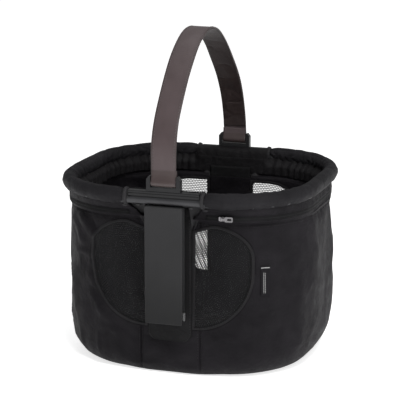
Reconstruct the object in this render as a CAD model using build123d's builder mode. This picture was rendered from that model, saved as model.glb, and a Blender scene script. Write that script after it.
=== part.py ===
from build123d import *
import os

# Handlebar basket. Millimetres, +Z up, +X to the right, front at -Y, origin on the floor at the middle.

# ---- driving dimensions -------------------------------------------------------------------------
RIM_LEVEL = 290.0            # nominal rim height that the other heights are measured from
TUBE_LEVEL = RIM_LEVEL - 5.5
TUBE_R = 8.0
TUBE_WALL = 1.5
RIM_LENGTH = 197.0           # half length of the tube's centreline, along X
RIM_WIDTH = 183.0            # half width of the tube's centreline, along Y
RIM_CORNER = 130.0
BARE_HALF = 58.0             # half length of the bare bar between the padded sleeves
FIT = 0.1                    # clearance between nested pieces
RIVET_Y = 12.0               # joiner rivets on either side of the tube's butt joint

ROLL_WIDTH = 25.0            # padded roll's section; the tube runs low in it
ROLL_HEIGHT = 28.0
ROLL_LEVEL = RIM_LEVEL - 2.2
ROLL_CLOTH = 1.2
BINDING_LENGTH = 6.0
BINDING_INSET = 0.8

BODY_LENGTH = 200.0          # half length of the fabric wall
BODY_WIDTH = 158.0           # half width of the fabric wall
BODY_CORNER = 120.0
CLOTH = 3.0                  # padded cloth thickness
BASE_ROUND = 30.0
WALL_TOP = RIM_LEVEL - 40
SEAM_HALF = 48.0             # vertical seams of the centre panels

WINDOW_LENGTH = 262.0
WINDOW_HEIGHT = 168.0
WINDOW_LEVEL = RIM_LEVEL - 129
WINDOW_CORNER = 78.0
COLUMN_HALF = 36.0
BINDING = 4.0

RAIL_HALF = 57.0
RAIL_TOP = RIM_LEVEL + 8.5
RAIL_DEPTH = 14.0
TONGUE_HALF = 24.0
TONGUE_LOW = RIM_LEVEL - 36
TONGUE_T = 4.0

LOOP_HALF = 27.0
LOOP_POST = 6.4
LOOP_DEPTH = 10.0
LOOP_BASE = 6.0
LOOP_TOP = RIM_LEVEL + 32
LOOP_BAR_R = 3.5
LOOP_BAR_LEVEL = RIM_LEVEL + 22
LOOP_Y = 185.0
LOOP_CUT_X = 4.0             # cut top corners
LOOP_CUT_Z = 5.0
SMALL_SCREW_R = 1.5

HANGER_HALF = 30.0
HANGER_FACE = 192.0          # distance of the hanging plate's face from the middle
HANGER_DEPTH = 12.0
HANGER_TOP = RIM_LEVEL - 14.5
HANGER_LOW = RIM_LEVEL - 199
HANGER_WALL = 2.5
HANGER_CORNER = 3.0
BACK_T = 2.5

STRAP_HALF = 20.0
STRAP_T = 2.6
LINING_T = 1.2
ARCH_Y = 185.0
ARCH_LEVEL = RIM_LEVEL + 30
ARCH_RISE = 204.4
PIVOT_LEVEL = RIM_LEVEL + 52.5

ZIP_LENGTH = 199.0           # band that carries the zip
ZIP_WIDTH = 170.0
ZIP_CORNER = 122.0
ZIP_LOW = RIM_LEVEL - 35
ZIP_HIGH = RIM_LEVEL - 26
BAND_TOP = RIM_LEVEL - 16.6
TAPE_T = 1.4
SLIDER_TURN = 4.6            # degrees round the corner from the straight front

ENDS = (("front", 0), ("rear", 180))
SIDES = (("left", -1), ("right", 1))
FAR = 600.0                  # larger than the basket, for cutting solids
CLEAR = 10.0                 # how far a cut runs past the face it opens

os.makedirs("parts", exist_ok=True)


def save(piece, name):
    """Label one finished piece and write it as its own STEP."""
    piece.label = name
    export_step(piece, f"parts/{name}.step")


def wall_ring(outside, inside, low, high):
    """Upright ring that follows the body's wall, between two offsets from its outer face."""
    with BuildPart() as ring:
        with BuildSketch(Plane.XY.offset(low)):
            RectangleRounded(2 * (BODY_LENGTH + outside), 2 * (BODY_WIDTH + outside),
                             BODY_CORNER + outside)
            RectangleRounded(2 * (BODY_LENGTH + inside), 2 * (BODY_WIDTH + inside),
                             BODY_CORNER + inside, mode=Mode.SUBTRACT)
        extrude(amount=high - low)
    return ring.part


def tub(shrink, floor):
    """Solid of the body's outer shape with a rounded base edge, made smaller by shrink."""
    with BuildPart() as solid:
        with BuildSketch(Plane.XY.offset(floor)):
            RectangleRounded(2 * (BODY_LENGTH - shrink), 2 * (BODY_WIDTH - shrink),
                             BODY_CORNER - shrink)
        extrude(amount=WALL_TOP - floor)
        fillet(solid.faces().sort_by(Axis.Z)[0].edges(), BASE_ROUND - shrink)
    return solid.part


# ---- rim frame ----------------------------------------------------------------------------------
CORNER_X = RIM_LENGTH - RIM_CORNER
CORNER_Y = RIM_WIDTH - RIM_CORNER

with BuildLine(Plane.XY.offset(TUBE_LEVEL)) as front_half:
    Polyline((-RIM_LENGTH, 0), (-RIM_LENGTH, -CORNER_Y))
    RadiusArc((-RIM_LENGTH, -CORNER_Y), (-CORNER_X, -RIM_WIDTH), -RIM_CORNER)
    Line((-CORNER_X, -RIM_WIDTH), (CORNER_X, -RIM_WIDTH))
    RadiusArc((CORNER_X, -RIM_WIDTH), (RIM_LENGTH, -CORNER_Y), -RIM_CORNER)
    Line((RIM_LENGTH, -CORNER_Y), (RIM_LENGTH, 0))

SCREW_X = 42.0
SCREW_R = 2.0

with BuildPart() as rim_tube:
    with BuildSketch(Plane(origin=(-RIM_LENGTH, 0, TUBE_LEVEL), x_dir=(1, 0, 0), z_dir=(0, -1, 0))):
        Circle(TUBE_R)
        Circle(TUBE_R - TUBE_WALL, mode=Mode.SUBTRACT)
    sweep(path=front_half.wire())
    # clearance holes for the bridge's screws and for the joiner's rivets
    with BuildSketch(Plane.XY.offset(TUBE_LEVEL - 2 * TUBE_R)):
        with Locations((-SCREW_X, -RIM_WIDTH), (SCREW_X, -RIM_WIDTH)):
            Circle(SCREW_R + FIT)
        with Locations((-RIM_LENGTH, -RIVET_Y), (RIM_LENGTH, -RIVET_Y)):
            Circle(SCREW_R + FIT)
    extrude(amount=4 * TUBE_R, mode=Mode.SUBTRACT)

for end, turn in ENDS:
    save(rim_tube.part.rotate(Axis.Z, turn), f"rim_tube_{end}")

JOINER_HALF = 22.0
with BuildPart() as tube_joiners:
    with BuildSketch(Plane.XZ.offset(-JOINER_HALF)):
        with Locations((-RIM_LENGTH, TUBE_LEVEL), (RIM_LENGTH, TUBE_LEVEL)):
            Circle(TUBE_R - TUBE_WALL - FIT)
    extrude(amount=2 * JOINER_HALF)
    with BuildSketch(Plane.XY.offset(TUBE_LEVEL - TUBE_R)):
        with GridLocations(2 * RIM_LENGTH, 2 * RIVET_Y, 2, 2):
            Circle(SCREW_R + FIT)
    extrude(amount=2 * TUBE_R, mode=Mode.SUBTRACT)
save(tube_joiners.part, "tube_joiners")

RIVET_RECESS = 0.3
RIVET_HALF = TUBE_R - RIVET_RECESS
with BuildPart() as joiner_rivets:
    with BuildSketch(Plane.XY.offset(TUBE_LEVEL - RIVET_HALF)):
        with GridLocations(2 * RIM_LENGTH, 2 * RIVET_Y, 2, 2):
            Circle(SCREW_R)
    extrude(amount=2 * RIVET_HALF)
save(joiner_rivets.part, "joiner_rivets")

# ---- padded roll --------------------------------------------------------------------------------
SLEEVE_START = BARE_HALF + BINDING_LENGTH


def half_rim_path(start):
    """Left half of the rim's centreline, from the front bar round to the rear bar."""
    with BuildLine(Plane.XY.offset(TUBE_LEVEL)) as path:
        Line((-start, -RIM_WIDTH), (-CORNER_X, -RIM_WIDTH))
        RadiusArc((-CORNER_X, -RIM_WIDTH), (-RIM_LENGTH, -CORNER_Y), RIM_CORNER)
        Line((-RIM_LENGTH, -CORNER_Y), (-RIM_LENGTH, CORNER_Y))
        RadiusArc((-RIM_LENGTH, CORNER_Y), (-CORNER_X, RIM_WIDTH), RIM_CORNER)
        Line((-CORNER_X, RIM_WIDTH), (-start, RIM_WIDTH))
    return path.wire()


# section plane at the roll's front end: its y axis points up
roll_plane = Plane(origin=(-SLEEVE_START, -RIM_WIDTH, TUBE_LEVEL), x_dir=(0, -1, 0), z_dir=(-1, 0, 0))

with BuildPart() as rim_foam:
    with BuildSketch(roll_plane):
        with Locations((0, ROLL_LEVEL - TUBE_LEVEL)):
            Ellipse(ROLL_WIDTH / 2 - ROLL_CLOTH - FIT, ROLL_HEIGHT / 2 - ROLL_CLOTH - FIT)
        Circle(TUBE_R + FIT, mode=Mode.SUBTRACT)
    sweep(path=half_rim_path(SLEEVE_START))

with BuildPart() as rim_sleeve:
    with BuildSketch(roll_plane):
        with Locations((0, ROLL_LEVEL - TUBE_LEVEL)):
            Ellipse(ROLL_WIDTH / 2, ROLL_HEIGHT / 2)
            Ellipse(ROLL_WIDTH / 2 - ROLL_CLOTH, ROLL_HEIGHT / 2 - ROLL_CLOTH, mode=Mode.SUBTRACT)
    sweep(path=half_rim_path(SLEEVE_START))

for side, sign in SIDES:
    turn = 0 if sign < 0 else 180
    save(rim_foam.part.rotate(Axis.Z, turn), f"rim_foam_{side}")
    save(rim_sleeve.part.rotate(Axis.Z, turn), f"rim_sleeve_{side}")

with BuildPart() as sleeve_end_bindings:
    for x in (-BARE_HALF - BINDING_LENGTH + FIT, BARE_HALF):
        for y in (-RIM_WIDTH, RIM_WIDTH):
            with BuildSketch(Plane.YZ.offset(x)):
                with Locations((y, ROLL_LEVEL)):
                    Ellipse(ROLL_WIDTH / 2 - BINDING_INSET, ROLL_HEIGHT / 2 - BINDING_INSET)
                with Locations((y, TUBE_LEVEL)):
                    Circle(TUBE_R + FIT, mode=Mode.SUBTRACT)
            extrude(amount=BINDING_LENGTH - FIT)
save(sleeve_end_bindings.part, "sleeve_end_bindings")

# ---- bridge, handle loop and their fasteners ----------------------------------------------------
RAIL_FRONT = -RIM_WIDTH - RAIL_DEPTH / 2
RAIL_BACK = -RIM_WIDTH + RAIL_DEPTH / 2
TONGUE_FRONT = -RIM_WIDTH + TUBE_R + FIT
TONGUE_BACK = TONGUE_FRONT + TONGUE_T
BACK_FACE = -HANGER_FACE + HANGER_DEPTH + BACK_T          # rear face of the hanging plate
HANGER_SCREW_X = 16.0
HANGER_SCREW_LEVEL = RIM_LEVEL - 24
RAIL_EDGE_R = 1.5
RAIL_LOW = TUBE_LEVEL + 5    # the rail stops here, so that only the tube shows below it
TONGUE_SLOPE = 3.0
SCREW_DEPTH = 5.0            # blind depth above the tube
hanger_screw_spots = ((-HANGER_SCREW_X, HANGER_SCREW_LEVEL), (HANGER_SCREW_X, HANGER_SCREW_LEVEL))
loop_screw_spots = ((LOOP_POST / 2 - LOOP_HALF, -LOOP_Y), (LOOP_HALF - LOOP_POST / 2, -LOOP_Y))

with BuildPart() as bridge:
    # flat rail that sits on the tube
    with BuildSketch(Plane.XZ.offset(-RAIL_BACK)):
        with Locations((0, (RAIL_TOP + TUBE_LEVEL) / 2)):
            Rectangle(2 * RAIL_HALF, RAIL_TOP - TUBE_LEVEL)
    extrude(amount=RAIL_DEPTH)
    fillet(bridge.edges().filter_by(Axis.X).group_by(Axis.Z)[-1], RAIL_EDGE_R)
    # tongue that drops behind the tube and carries the hanging plate
    with BuildSketch(Plane.YZ.offset(-TONGUE_HALF)):
        Polygon((RAIL_BACK - TONGUE_SLOPE, RAIL_TOP - RAIL_EDGE_R), (TONGUE_BACK, RAIL_TOP - TONGUE_SLOPE),
                (TONGUE_BACK, TONGUE_LOW),
                (BACK_FACE + FIT, TONGUE_LOW), (BACK_FACE + FIT, HANGER_TOP - 2),
                (TONGUE_FRONT, HANGER_TOP + 2), (TONGUE_FRONT, TUBE_LEVEL),
                align=None)
    extrude(amount=2 * TONGUE_HALF)
    # seat on the tube
    with BuildSketch(Plane.YZ.offset(-FAR / 2)):
        with Locations((-RIM_WIDTH, TUBE_LEVEL)):
            Circle(TUBE_R + FIT)
    extrude(amount=FAR, mode=Mode.SUBTRACT)
    # underside of the rail: in front of the tube, and behind it on both sides of the tongue
    with BuildSketch(Plane.XZ.offset(RIM_WIDTH)):
        with Locations((0, RAIL_LOW - FAR / 2)):
            Rectangle(FAR, FAR)
    extrude(amount=RAIL_DEPTH, mode=Mode.SUBTRACT)
    with BuildSketch(Plane.XZ.offset(-RAIL_BACK - CLEAR)):
        for sign in (-1, 1):
            with Locations((sign * (FAR / 2 + TONGUE_HALF), RAIL_LOW - FAR / 2)):
                Rectangle(FAR, FAR)
    extrude(amount=RAIL_DEPTH + 2 * CLEAR, mode=Mode.SUBTRACT)
    # blind holes for the screws from below, through holes for the loop's and the plate's screws
    with BuildSketch(Plane.XY.offset(TUBE_LEVEL)):
        with Locations((-SCREW_X, -RIM_WIDTH), (SCREW_X, -RIM_WIDTH)):
            Circle(SCREW_R + FIT)
    extrude(amount=TUBE_R + SCREW_DEPTH, mode=Mode.SUBTRACT)
    with BuildSketch(Plane.XY.offset(TUBE_LEVEL)):
        with Locations(*loop_screw_spots):
            Circle(SMALL_SCREW_R + FIT)
    extrude(amount=RAIL_TOP - TUBE_LEVEL, mode=Mode.SUBTRACT)
    with BuildSketch(Plane.XZ.offset(-TONGUE_BACK)):
        with Locations(*hanger_screw_spots):
            Circle(SMALL_SCREW_R + FIT)
    extrude(amount=CLEAR, mode=Mode.SUBTRACT)

LOOP_EDGE_R = 1.0
LOOP_SCREW_DEPTH = 10.0
BAR_ROOT = 1.0               # how far the bar's ends are let into the posts
with BuildPart() as handle_loop:
    with BuildSketch(Plane.XZ.offset(LOOP_Y - LOOP_DEPTH / 2)):
        # outline with cut top corners, and the slot that the strap passes through
        Polygon((-LOOP_HALF, RAIL_TOP), (LOOP_HALF, RAIL_TOP), (LOOP_HALF, LOOP_TOP - LOOP_CUT_Z),
                (LOOP_HALF - LOOP_CUT_X, LOOP_TOP), (LOOP_CUT_X - LOOP_HALF, LOOP_TOP),
                (-LOOP_HALF, LOOP_TOP - LOOP_CUT_Z), align=None)
        with Locations((0, (RAIL_TOP + LOOP_BASE + LOOP_TOP + CLEAR) / 2)):
            Rectangle(2 * (LOOP_HALF - LOOP_POST), LOOP_TOP + CLEAR - RAIL_TOP - LOOP_BASE,
                      mode=Mode.SUBTRACT)
    extrude(amount=LOOP_DEPTH)
    fillet(handle_loop.edges().filter_by(Axis.Y).group_by(Axis.Z)[-1], LOOP_EDGE_R)
    with BuildSketch(Plane.YZ.offset(-LOOP_HALF + LOOP_POST - BAR_ROOT)):
        with Locations((-LOOP_Y, LOOP_BAR_LEVEL)):
            Circle(LOOP_BAR_R)
    extrude(amount=2 * (LOOP_HALF - LOOP_POST + BAR_ROOT))
    with BuildSketch(Plane.XY.offset(RAIL_TOP)):
        with Locations(*loop_screw_spots):
            Circle(SMALL_SCREW_R + FIT)
    extrude(amount=LOOP_SCREW_DEPTH, mode=Mode.SUBTRACT)

for end, turn in ENDS:
    save(bridge.part.rotate(Axis.Z, turn), f"{end}_bridge")
    save(handle_loop.part.rotate(Axis.Z, turn), f"{end}_handle_loop")

HEAD_T = 2.0
HEAD_LEVEL = TUBE_LEVEL - TUBE_R - 2 * FIT
with BuildPart() as bridge_screws:
    for y in (-RIM_WIDTH, RIM_WIDTH):
        with BuildSketch(Plane.XY.offset(HEAD_LEVEL)):
            with Locations((-SCREW_X, y), (SCREW_X, y)):
                Circle(SCREW_R)
        extrude(amount=2 * TUBE_R + SCREW_DEPTH - 1)
        with BuildSketch(Plane.XY.offset(HEAD_LEVEL - HEAD_T)):
            with Locations((-SCREW_X, y), (SCREW_X, y)):
                Circle(2 * SCREW_R)
        extrude(amount=HEAD_T)
save(bridge_screws.part, "bridge_screws")

LOOP_SCREW_LENGTH = 14.0
with BuildPart() as loop_screws:
    with BuildSketch(Plane.XY.offset(RAIL_TOP + LOOP_SCREW_DEPTH - LOOP_SCREW_LENGTH - 2 * FIT)):
        with GridLocations(2 * LOOP_HALF - LOOP_POST, 2 * LOOP_Y, 2, 2):
            Circle(SMALL_SCREW_R)
    extrude(amount=LOOP_SCREW_LENGTH)
save(loop_screws.part, "loop_screws")

HANGER_SCREW_LENGTH = 12.0
HANGER_HEAD_T = 1.6
with BuildPart() as hanger_screws:
    for face, way in ((TONGUE_BACK, 1), (-TONGUE_BACK, -1)):
        with BuildSketch(Plane.XZ.offset(-face)):
            with Locations(*hanger_screw_spots):
                Circle(SMALL_SCREW_R)
        extrude(amount=way * HANGER_SCREW_LENGTH)
        with BuildSketch(Plane.XZ.offset(-face)):
            with Locations(*hanger_screw_spots):
                Circle(2 * SMALL_SCREW_R)
        extrude(amount=-way * HANGER_HEAD_T)
save(hanger_screws.part, "hanger_screws")

# ---- hanging plate: cover shell, back shell and release tab -------------------------------------
TAB_LEVEL = HANGER_LOW + 13
TAB_HEIGHT = 13.0
TAB_WIDTH = 5.0
TAB_Y = -HANGER_FACE + HANGER_DEPTH / 2 + 1.5
TAB_GAP = 0.4                # clearance round the tab in its slot
TAB_OUT = 2.5                # how far the tab stands out of the side wall
TAB_EDGE_R = 0.9
FLANGE_T = 1.5
FLANGE_RIM = 1.2
PLATE_EDGE_R = 1.6
BOSS_R = 4.0
HANGER_MID = (HANGER_TOP + HANGER_LOW) / 2
HANGER_HEIGHT = HANGER_TOP - HANGER_LOW

with BuildPart() as hanger_cover:
    with BuildSketch(Plane.XZ.offset(HANGER_FACE - HANGER_DEPTH)):
        with Locations((0, HANGER_MID)):
            RectangleRounded(2 * HANGER_HALF, HANGER_HEIGHT, HANGER_CORNER)
    extrude(amount=HANGER_DEPTH)
    fillet(hanger_cover.faces().sort_by(Axis.Y)[0].edges(), PLATE_EDGE_R)
    # hollow, open at the back and at the bottom
    with BuildSketch(Plane.XZ.offset(HANGER_FACE - HANGER_DEPTH)):
        with Locations((0, HANGER_MID - HANGER_WALL - CLEAR)):
            Rectangle(2 * (HANGER_HALF - HANGER_WALL), HANGER_HEIGHT + 2 * CLEAR)
    extrude(amount=HANGER_DEPTH - HANGER_WALL, mode=Mode.SUBTRACT)
    # bosses that take the plate's screws
    with BuildSketch(Plane.XZ.offset(HANGER_FACE - HANGER_DEPTH)):
        with Locations(*hanger_screw_spots):
            Circle(BOSS_R)
    extrude(amount=HANGER_DEPTH - 1)
    with BuildSketch(Plane.XZ.offset(HANGER_FACE - HANGER_DEPTH)):
        with Locations(*hanger_screw_spots):
            Circle(SMALL_SCREW_R + FIT)
    extrude(amount=HANGER_DEPTH - HANGER_WALL, mode=Mode.SUBTRACT)
    # slot for the release tab in the right side wall
    with BuildSketch(Plane.YZ.offset(HANGER_HALF - HANGER_WALL - 1)):
        with Locations((TAB_Y, TAB_LEVEL)):
            SlotOverall(TAB_HEIGHT + 2 * TAB_GAP, TAB_WIDTH + 2 * TAB_GAP, rotation=90)
    extrude(amount=HANGER_WALL + 2, mode=Mode.SUBTRACT)

with BuildPart() as hanger_back:
    with BuildSketch(Plane.XZ.offset(HANGER_FACE - HANGER_DEPTH - BACK_T)):
        with Locations((0, HANGER_MID)):
            RectangleRounded(2 * HANGER_HALF, HANGER_HEIGHT, HANGER_CORNER)
        with Locations(*hanger_screw_spots):
            Circle(SMALL_SCREW_R + FIT, mode=Mode.SUBTRACT)
    extrude(amount=BACK_T - FIT / 2)

TAB_ROOT = HANGER_HALF - HANGER_WALL - 0.3
with BuildPart() as release_tab:
    with BuildSketch(Plane.YZ.offset(TAB_ROOT)):
        with Locations((TAB_Y, TAB_LEVEL)):
            SlotOverall(TAB_HEIGHT, TAB_WIDTH, rotation=90)
    extrude(amount=HANGER_HALF + TAB_OUT - TAB_ROOT)
    fillet(release_tab.faces().sort_by(Axis.X)[-1].edges(), TAB_EDGE_R)
    # flange that keeps the tab in the wall
    with BuildSketch(Plane.YZ.offset(TAB_ROOT - FLANGE_T)):
        with Locations((TAB_Y, TAB_LEVEL)):
            Rectangle(TAB_WIDTH + 2 * FLANGE_RIM, TAB_HEIGHT + 4 * FLANGE_RIM)
    extrude(amount=FLANGE_T)

for end, turn in ENDS:
    save(hanger_cover.part.rotate(Axis.Z, turn), f"{end}_hanger_cover")
    save(hanger_back.part.rotate(Axis.Z, turn), f"{end}_hanger_back")
    save(release_tab.part.rotate(Axis.Z, turn), f"{end}_release_tab")

# ---- fabric body --------------------------------------------------------------------------------
FLOOR_LENGTH = BODY_LENGTH - BASE_ROUND
FLOOR_WIDTH = BODY_WIDTH - BASE_ROUND
FLOOR_CORNER = BODY_CORNER - BASE_ROUND

with BuildPart() as windows:
    with BuildSketch(Plane.XZ.offset(-FAR / 2)):
        with Locations((0, WINDOW_LEVEL)):
            RectangleRounded(WINDOW_LENGTH, WINDOW_HEIGHT, WINDOW_CORNER)
            Rectangle(2 * COLUMN_HALF, WINDOW_HEIGHT + 2, mode=Mode.SUBTRACT)
    extrude(amount=FAR)

with BuildPart() as window_insets:
    with BuildSketch(Plane.XZ.offset(-FAR / 2)):
        with Locations((0, WINDOW_LEVEL)):
            RectangleRounded(WINDOW_LENGTH - 2 * BINDING, WINDOW_HEIGHT - 2 * BINDING,
                             WINDOW_CORNER - BINDING)
            Rectangle(2 * (COLUMN_HALF + BINDING), WINDOW_HEIGHT + 2, mode=Mode.SUBTRACT)
    extrude(amount=FAR)

with BuildPart() as body_shell:
    add(tub(0, 0))
    add(tub(CLOTH, CLOTH), mode=Mode.SUBTRACT)
    with BuildSketch(Plane.XY):
        RectangleRounded(2 * FLOOR_LENGTH, 2 * FLOOR_WIDTH, FLOOR_CORNER)
    extrude(amount=CLOTH, mode=Mode.SUBTRACT)
    add(windows.part, mode=Mode.SUBTRACT)

for side, sign in SIDES:
    with BuildPart() as side_panel:
        add(body_shell.part)
        with Locations((sign * (SEAM_HALF + FAR / 2), 0, 0)):
            Box(FAR, FAR, FAR, mode=Mode.INTERSECT)
    save(side_panel.part, f"side_panel_{side}")

for end, sign in (("front", -1), ("rear", 1)):
    with BuildPart() as centre_panel:
        add(body_shell.part)
        with Locations((0, sign * FAR / 2, 0)):
            Box(2 * SEAM_HALF, FAR, FAR, mode=Mode.INTERSECT)
    save(centre_panel.part, f"centre_panel_{end}")

with BuildPart() as bottom_panel:
    with BuildSketch(Plane.XY):
        RectangleRounded(2 * FLOOR_LENGTH, 2 * FLOOR_WIDTH, FLOOR_CORNER)
    extrude(amount=CLOTH)
save(bottom_panel.part, "bottom_panel")

BOARD_T = 3.0
BOARD_GAP = 2.0
with BuildPart() as base_board:
    with BuildSketch(Plane.XY.offset(CLOTH + FIT)):
        RectangleRounded(2 * (FLOOR_LENGTH - BOARD_GAP), 2 * (FLOOR_WIDTH - BOARD_GAP), FLOOR_CORNER)
    extrude(amount=BOARD_T)
save(base_board.part, "base_board")

PAD_T = 13.0
PAD_OVER = 3.0               # how far the pad reaches past the flat of the floor
PAD_EDGE_R = 5.0
with BuildPart() as floor_pad:
    with BuildSketch(Plane.XY.offset(CLOTH + BOARD_T + 2 * FIT)):
        RectangleRounded(2 * (FLOOR_LENGTH + PAD_OVER), 2 * (FLOOR_WIDTH + PAD_OVER),
                         FLOOR_CORNER + PAD_OVER)
    extrude(amount=PAD_T)
    fillet(floor_pad.faces().sort_by(Axis.Z)[-1].edges(), PAD_EDGE_R)
save(floor_pad.part, "floor_pad")

# mesh windows, each with its binding
MESH_OUT = -1.0
MESH_IN = -2.2
BINDING_OUT = 1.0
WINDOW_LOW = WINDOW_LEVEL - WINDOW_HEIGHT / 2 - CLEAR / 2
WINDOW_HIGH = WINDOW_LEVEL + WINDOW_HEIGHT / 2 + CLEAR / 2

mesh_layer = wall_ring(MESH_OUT, MESH_IN, WINDOW_LOW, WINDOW_HIGH)
binding_layer = wall_ring(BINDING_OUT, -CLOTH, WINDOW_LOW, WINDOW_HIGH)

for end, y_sign in (("front", -1), ("rear", 1)):
    for side, x_sign in SIDES:
        quarter = (x_sign * FAR / 2, y_sign * FAR / 2, 0)
        with BuildPart() as mesh_window:
            add(mesh_layer)
            add(window_insets.part, mode=Mode.INTERSECT)
            with Locations(quarter):
                Box(FAR, FAR, 2 * FAR, mode=Mode.INTERSECT)
        save(mesh_window.part, f"{end}_{side}_mesh")
        with BuildPart() as window_binding:
            add(binding_layer)
            add(windows.part, mode=Mode.INTERSECT)
            add(window_insets.part, mode=Mode.SUBTRACT)
            with Locations(quarter):
                Box(FAR, FAR, 2 * FAR, mode=Mode.INTERSECT)
        save(window_binding.part, f"{end}_{side}_binding")

# stiffened column between the windows, on the outside of each centre panel
COLUMN_T = 3.5
COLUMN_CORNER = 14.0
COLUMN_GAP = 0.2
COLUMN_LOW = RIM_LEVEL - 234
COLUMN_HIGH = RIM_LEVEL - 20
with BuildPart() as column:
    with BuildSketch(Plane.XZ.offset(BODY_WIDTH + COLUMN_GAP)):
        with Locations((0, (COLUMN_LOW + COLUMN_HIGH) / 2)):
            Rectangle(2 * COLUMN_HALF - 1, COLUMN_HIGH - COLUMN_LOW)
    extrude(amount=COLUMN_T)
    fillet(column.edges().filter_by(Axis.Y).group_by(Axis.Z)[0], COLUMN_CORNER)
for end, turn in ENDS:
    save(column.part.rotate(Axis.Z, turn), f"{end}_column")

# band between the roll and the wall; its upright middle carries the zip
BAND_STEPS = ((WALL_TOP + FIT, BODY_LENGTH, BODY_WIDTH, BODY_CORNER),
              (ZIP_LOW, ZIP_LENGTH, ZIP_WIDTH, ZIP_CORNER),
              (ZIP_HIGH, ZIP_LENGTH, ZIP_WIDTH, ZIP_CORNER),
              (BAND_TOP, ZIP_LENGTH - 1, ZIP_WIDTH + 12, ZIP_CORNER + 7))


def band_solid(shrink):
    """Ruled solid through the band's levels, made smaller by shrink."""
    with BuildPart() as solid:
        for level, length, width, corner in BAND_STEPS:
            with BuildSketch(Plane.XY.offset(level)):
                RectangleRounded(2 * (length - shrink), 2 * (width - shrink), corner - shrink)
        loft(ruled=True)
    return solid.part


NOTCH_LOW_HALF = COLUMN_HALF + 0.5
with BuildPart() as top_band:
    add(band_solid(0))
    add(band_solid(CLOTH), mode=Mode.SUBTRACT)
    # tapered notch under the bare bar, front and rear
    with BuildSketch(Plane.XZ.offset(-FAR / 2)):
        Polygon((-NOTCH_LOW_HALF, WALL_TOP - 1), (NOTCH_LOW_HALF, WALL_TOP - 1),
                (BARE_HALF, BAND_TOP + 1), (-BARE_HALF, BAND_TOP + 1), align=None)
    extrude(amount=FAR, mode=Mode.SUBTRACT)
save(top_band.part, "top_band")

SKIRT_LENGTH = 183.8
SKIRT_WIDTH = 165.5
SKIRT_CORNER = 116.0
SKIRT_T = 1.6
SKIRT_LOW = RIM_LEVEL - 34.5
SKIRT_HIGH = RIM_LEVEL - 12
with BuildPart() as liner_skirt:
    with BuildSketch(Plane.XY.offset(SKIRT_LOW)):
        RectangleRounded(2 * SKIRT_LENGTH, 2 * SKIRT_WIDTH, SKIRT_CORNER)
        RectangleRounded(2 * (SKIRT_LENGTH - SKIRT_T), 2 * (SKIRT_WIDTH - SKIRT_T),
                         SKIRT_CORNER - SKIRT_T, mode=Mode.SUBTRACT)
    extrude(amount=SKIRT_HIGH - SKIRT_LOW)
save(liner_skirt.part, "liner_skirt")

# ---- zip ----------------------------------------------------------------------------------------
TAPE_OUT = FIT + TAPE_T
TAPE_START = 60.0
with BuildPart() as zip_tapes:
    with BuildSketch(Plane.XY.offset(ZIP_LOW + 0.5)):
        RectangleRounded(2 * (ZIP_LENGTH + TAPE_OUT), 2 * (ZIP_WIDTH + TAPE_OUT), ZIP_CORNER + TAPE_OUT)
        RectangleRounded(2 * (ZIP_LENGTH + FIT), 2 * (ZIP_WIDTH + FIT), ZIP_CORNER + FIT,
                         mode=Mode.SUBTRACT)
    extrude(amount=ZIP_HIGH - ZIP_LOW - 1)
for side, sign in SIDES:
    with BuildPart() as zip_tape:
        add(zip_tapes.part)
        with Locations((sign * (TAPE_START + FAR / 2), 0, 0)):
            Box(FAR, FAR, 2 * FAR, mode=Mode.INTERSECT)
    save(zip_tape.part, f"zip_tape_{side}")

# the slider runs round the tape's front right corner
ZIP_X = ZIP_LENGTH - ZIP_CORNER
ZIP_Y = ZIP_CORNER - ZIP_WIDTH
TAPE_R = ZIP_CORNER + TAPE_OUT
ZIP_MID = (ZIP_LOW + ZIP_HIGH) / 2
SLIDER_LENGTH = 9.0
SLIDER_HEIGHT = 7.0
SLIDER_T = 2.4
PIN_R = 0.8
PIN_OUT = SLIDER_T + 2.1     # distance of the pull's pin from the tape
EAR = 1.2
EAR_SPAN = 3.6
EAR_LENGTH = 2.6
SLIDER_CORNER = 1.6
SLIDER_EDGE_R = 0.6
SLIDER_GAP = 0.3

# frame on the tape at the slider: x along the tape, y up, z outwards
slider_plane = Plane(origin=(ZIP_X, ZIP_Y, ZIP_MID), x_dir=(1, 0, 0), z_dir=(0, -1, 0))
slider_plane = slider_plane.offset(TAPE_R + SLIDER_GAP)
zip_axis = Axis((ZIP_X, ZIP_Y, 0), (0, 0, 1))

with BuildPart() as zip_slider:
    with BuildSketch(slider_plane):
        RectangleRounded(SLIDER_LENGTH, SLIDER_HEIGHT, SLIDER_CORNER)
    extrude(amount=SLIDER_T)
    fillet(zip_slider.faces().sort_by(Axis.Y)[0].edges(), SLIDER_EDGE_R)
    # two ears and the pin between them
    with BuildSketch(slider_plane.offset(SLIDER_T / 2)):
        with Locations((0, -EAR_SPAN / 2 - EAR / 2), (0, EAR_SPAN / 2 + EAR / 2)):
            Rectangle(EAR_LENGTH, EAR)
    extrude(amount=PIN_OUT + 1 - SLIDER_T / 2)
    with BuildSketch(Plane(slider_plane.origin + Vector(0, -PIN_OUT, -EAR_SPAN / 2 - EAR), x_dir=(1, 0, 0),
                           z_dir=(0, 0, 1))):
        Circle(PIN_R)
    extrude(amount=EAR_SPAN + 2 * EAR)

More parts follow.
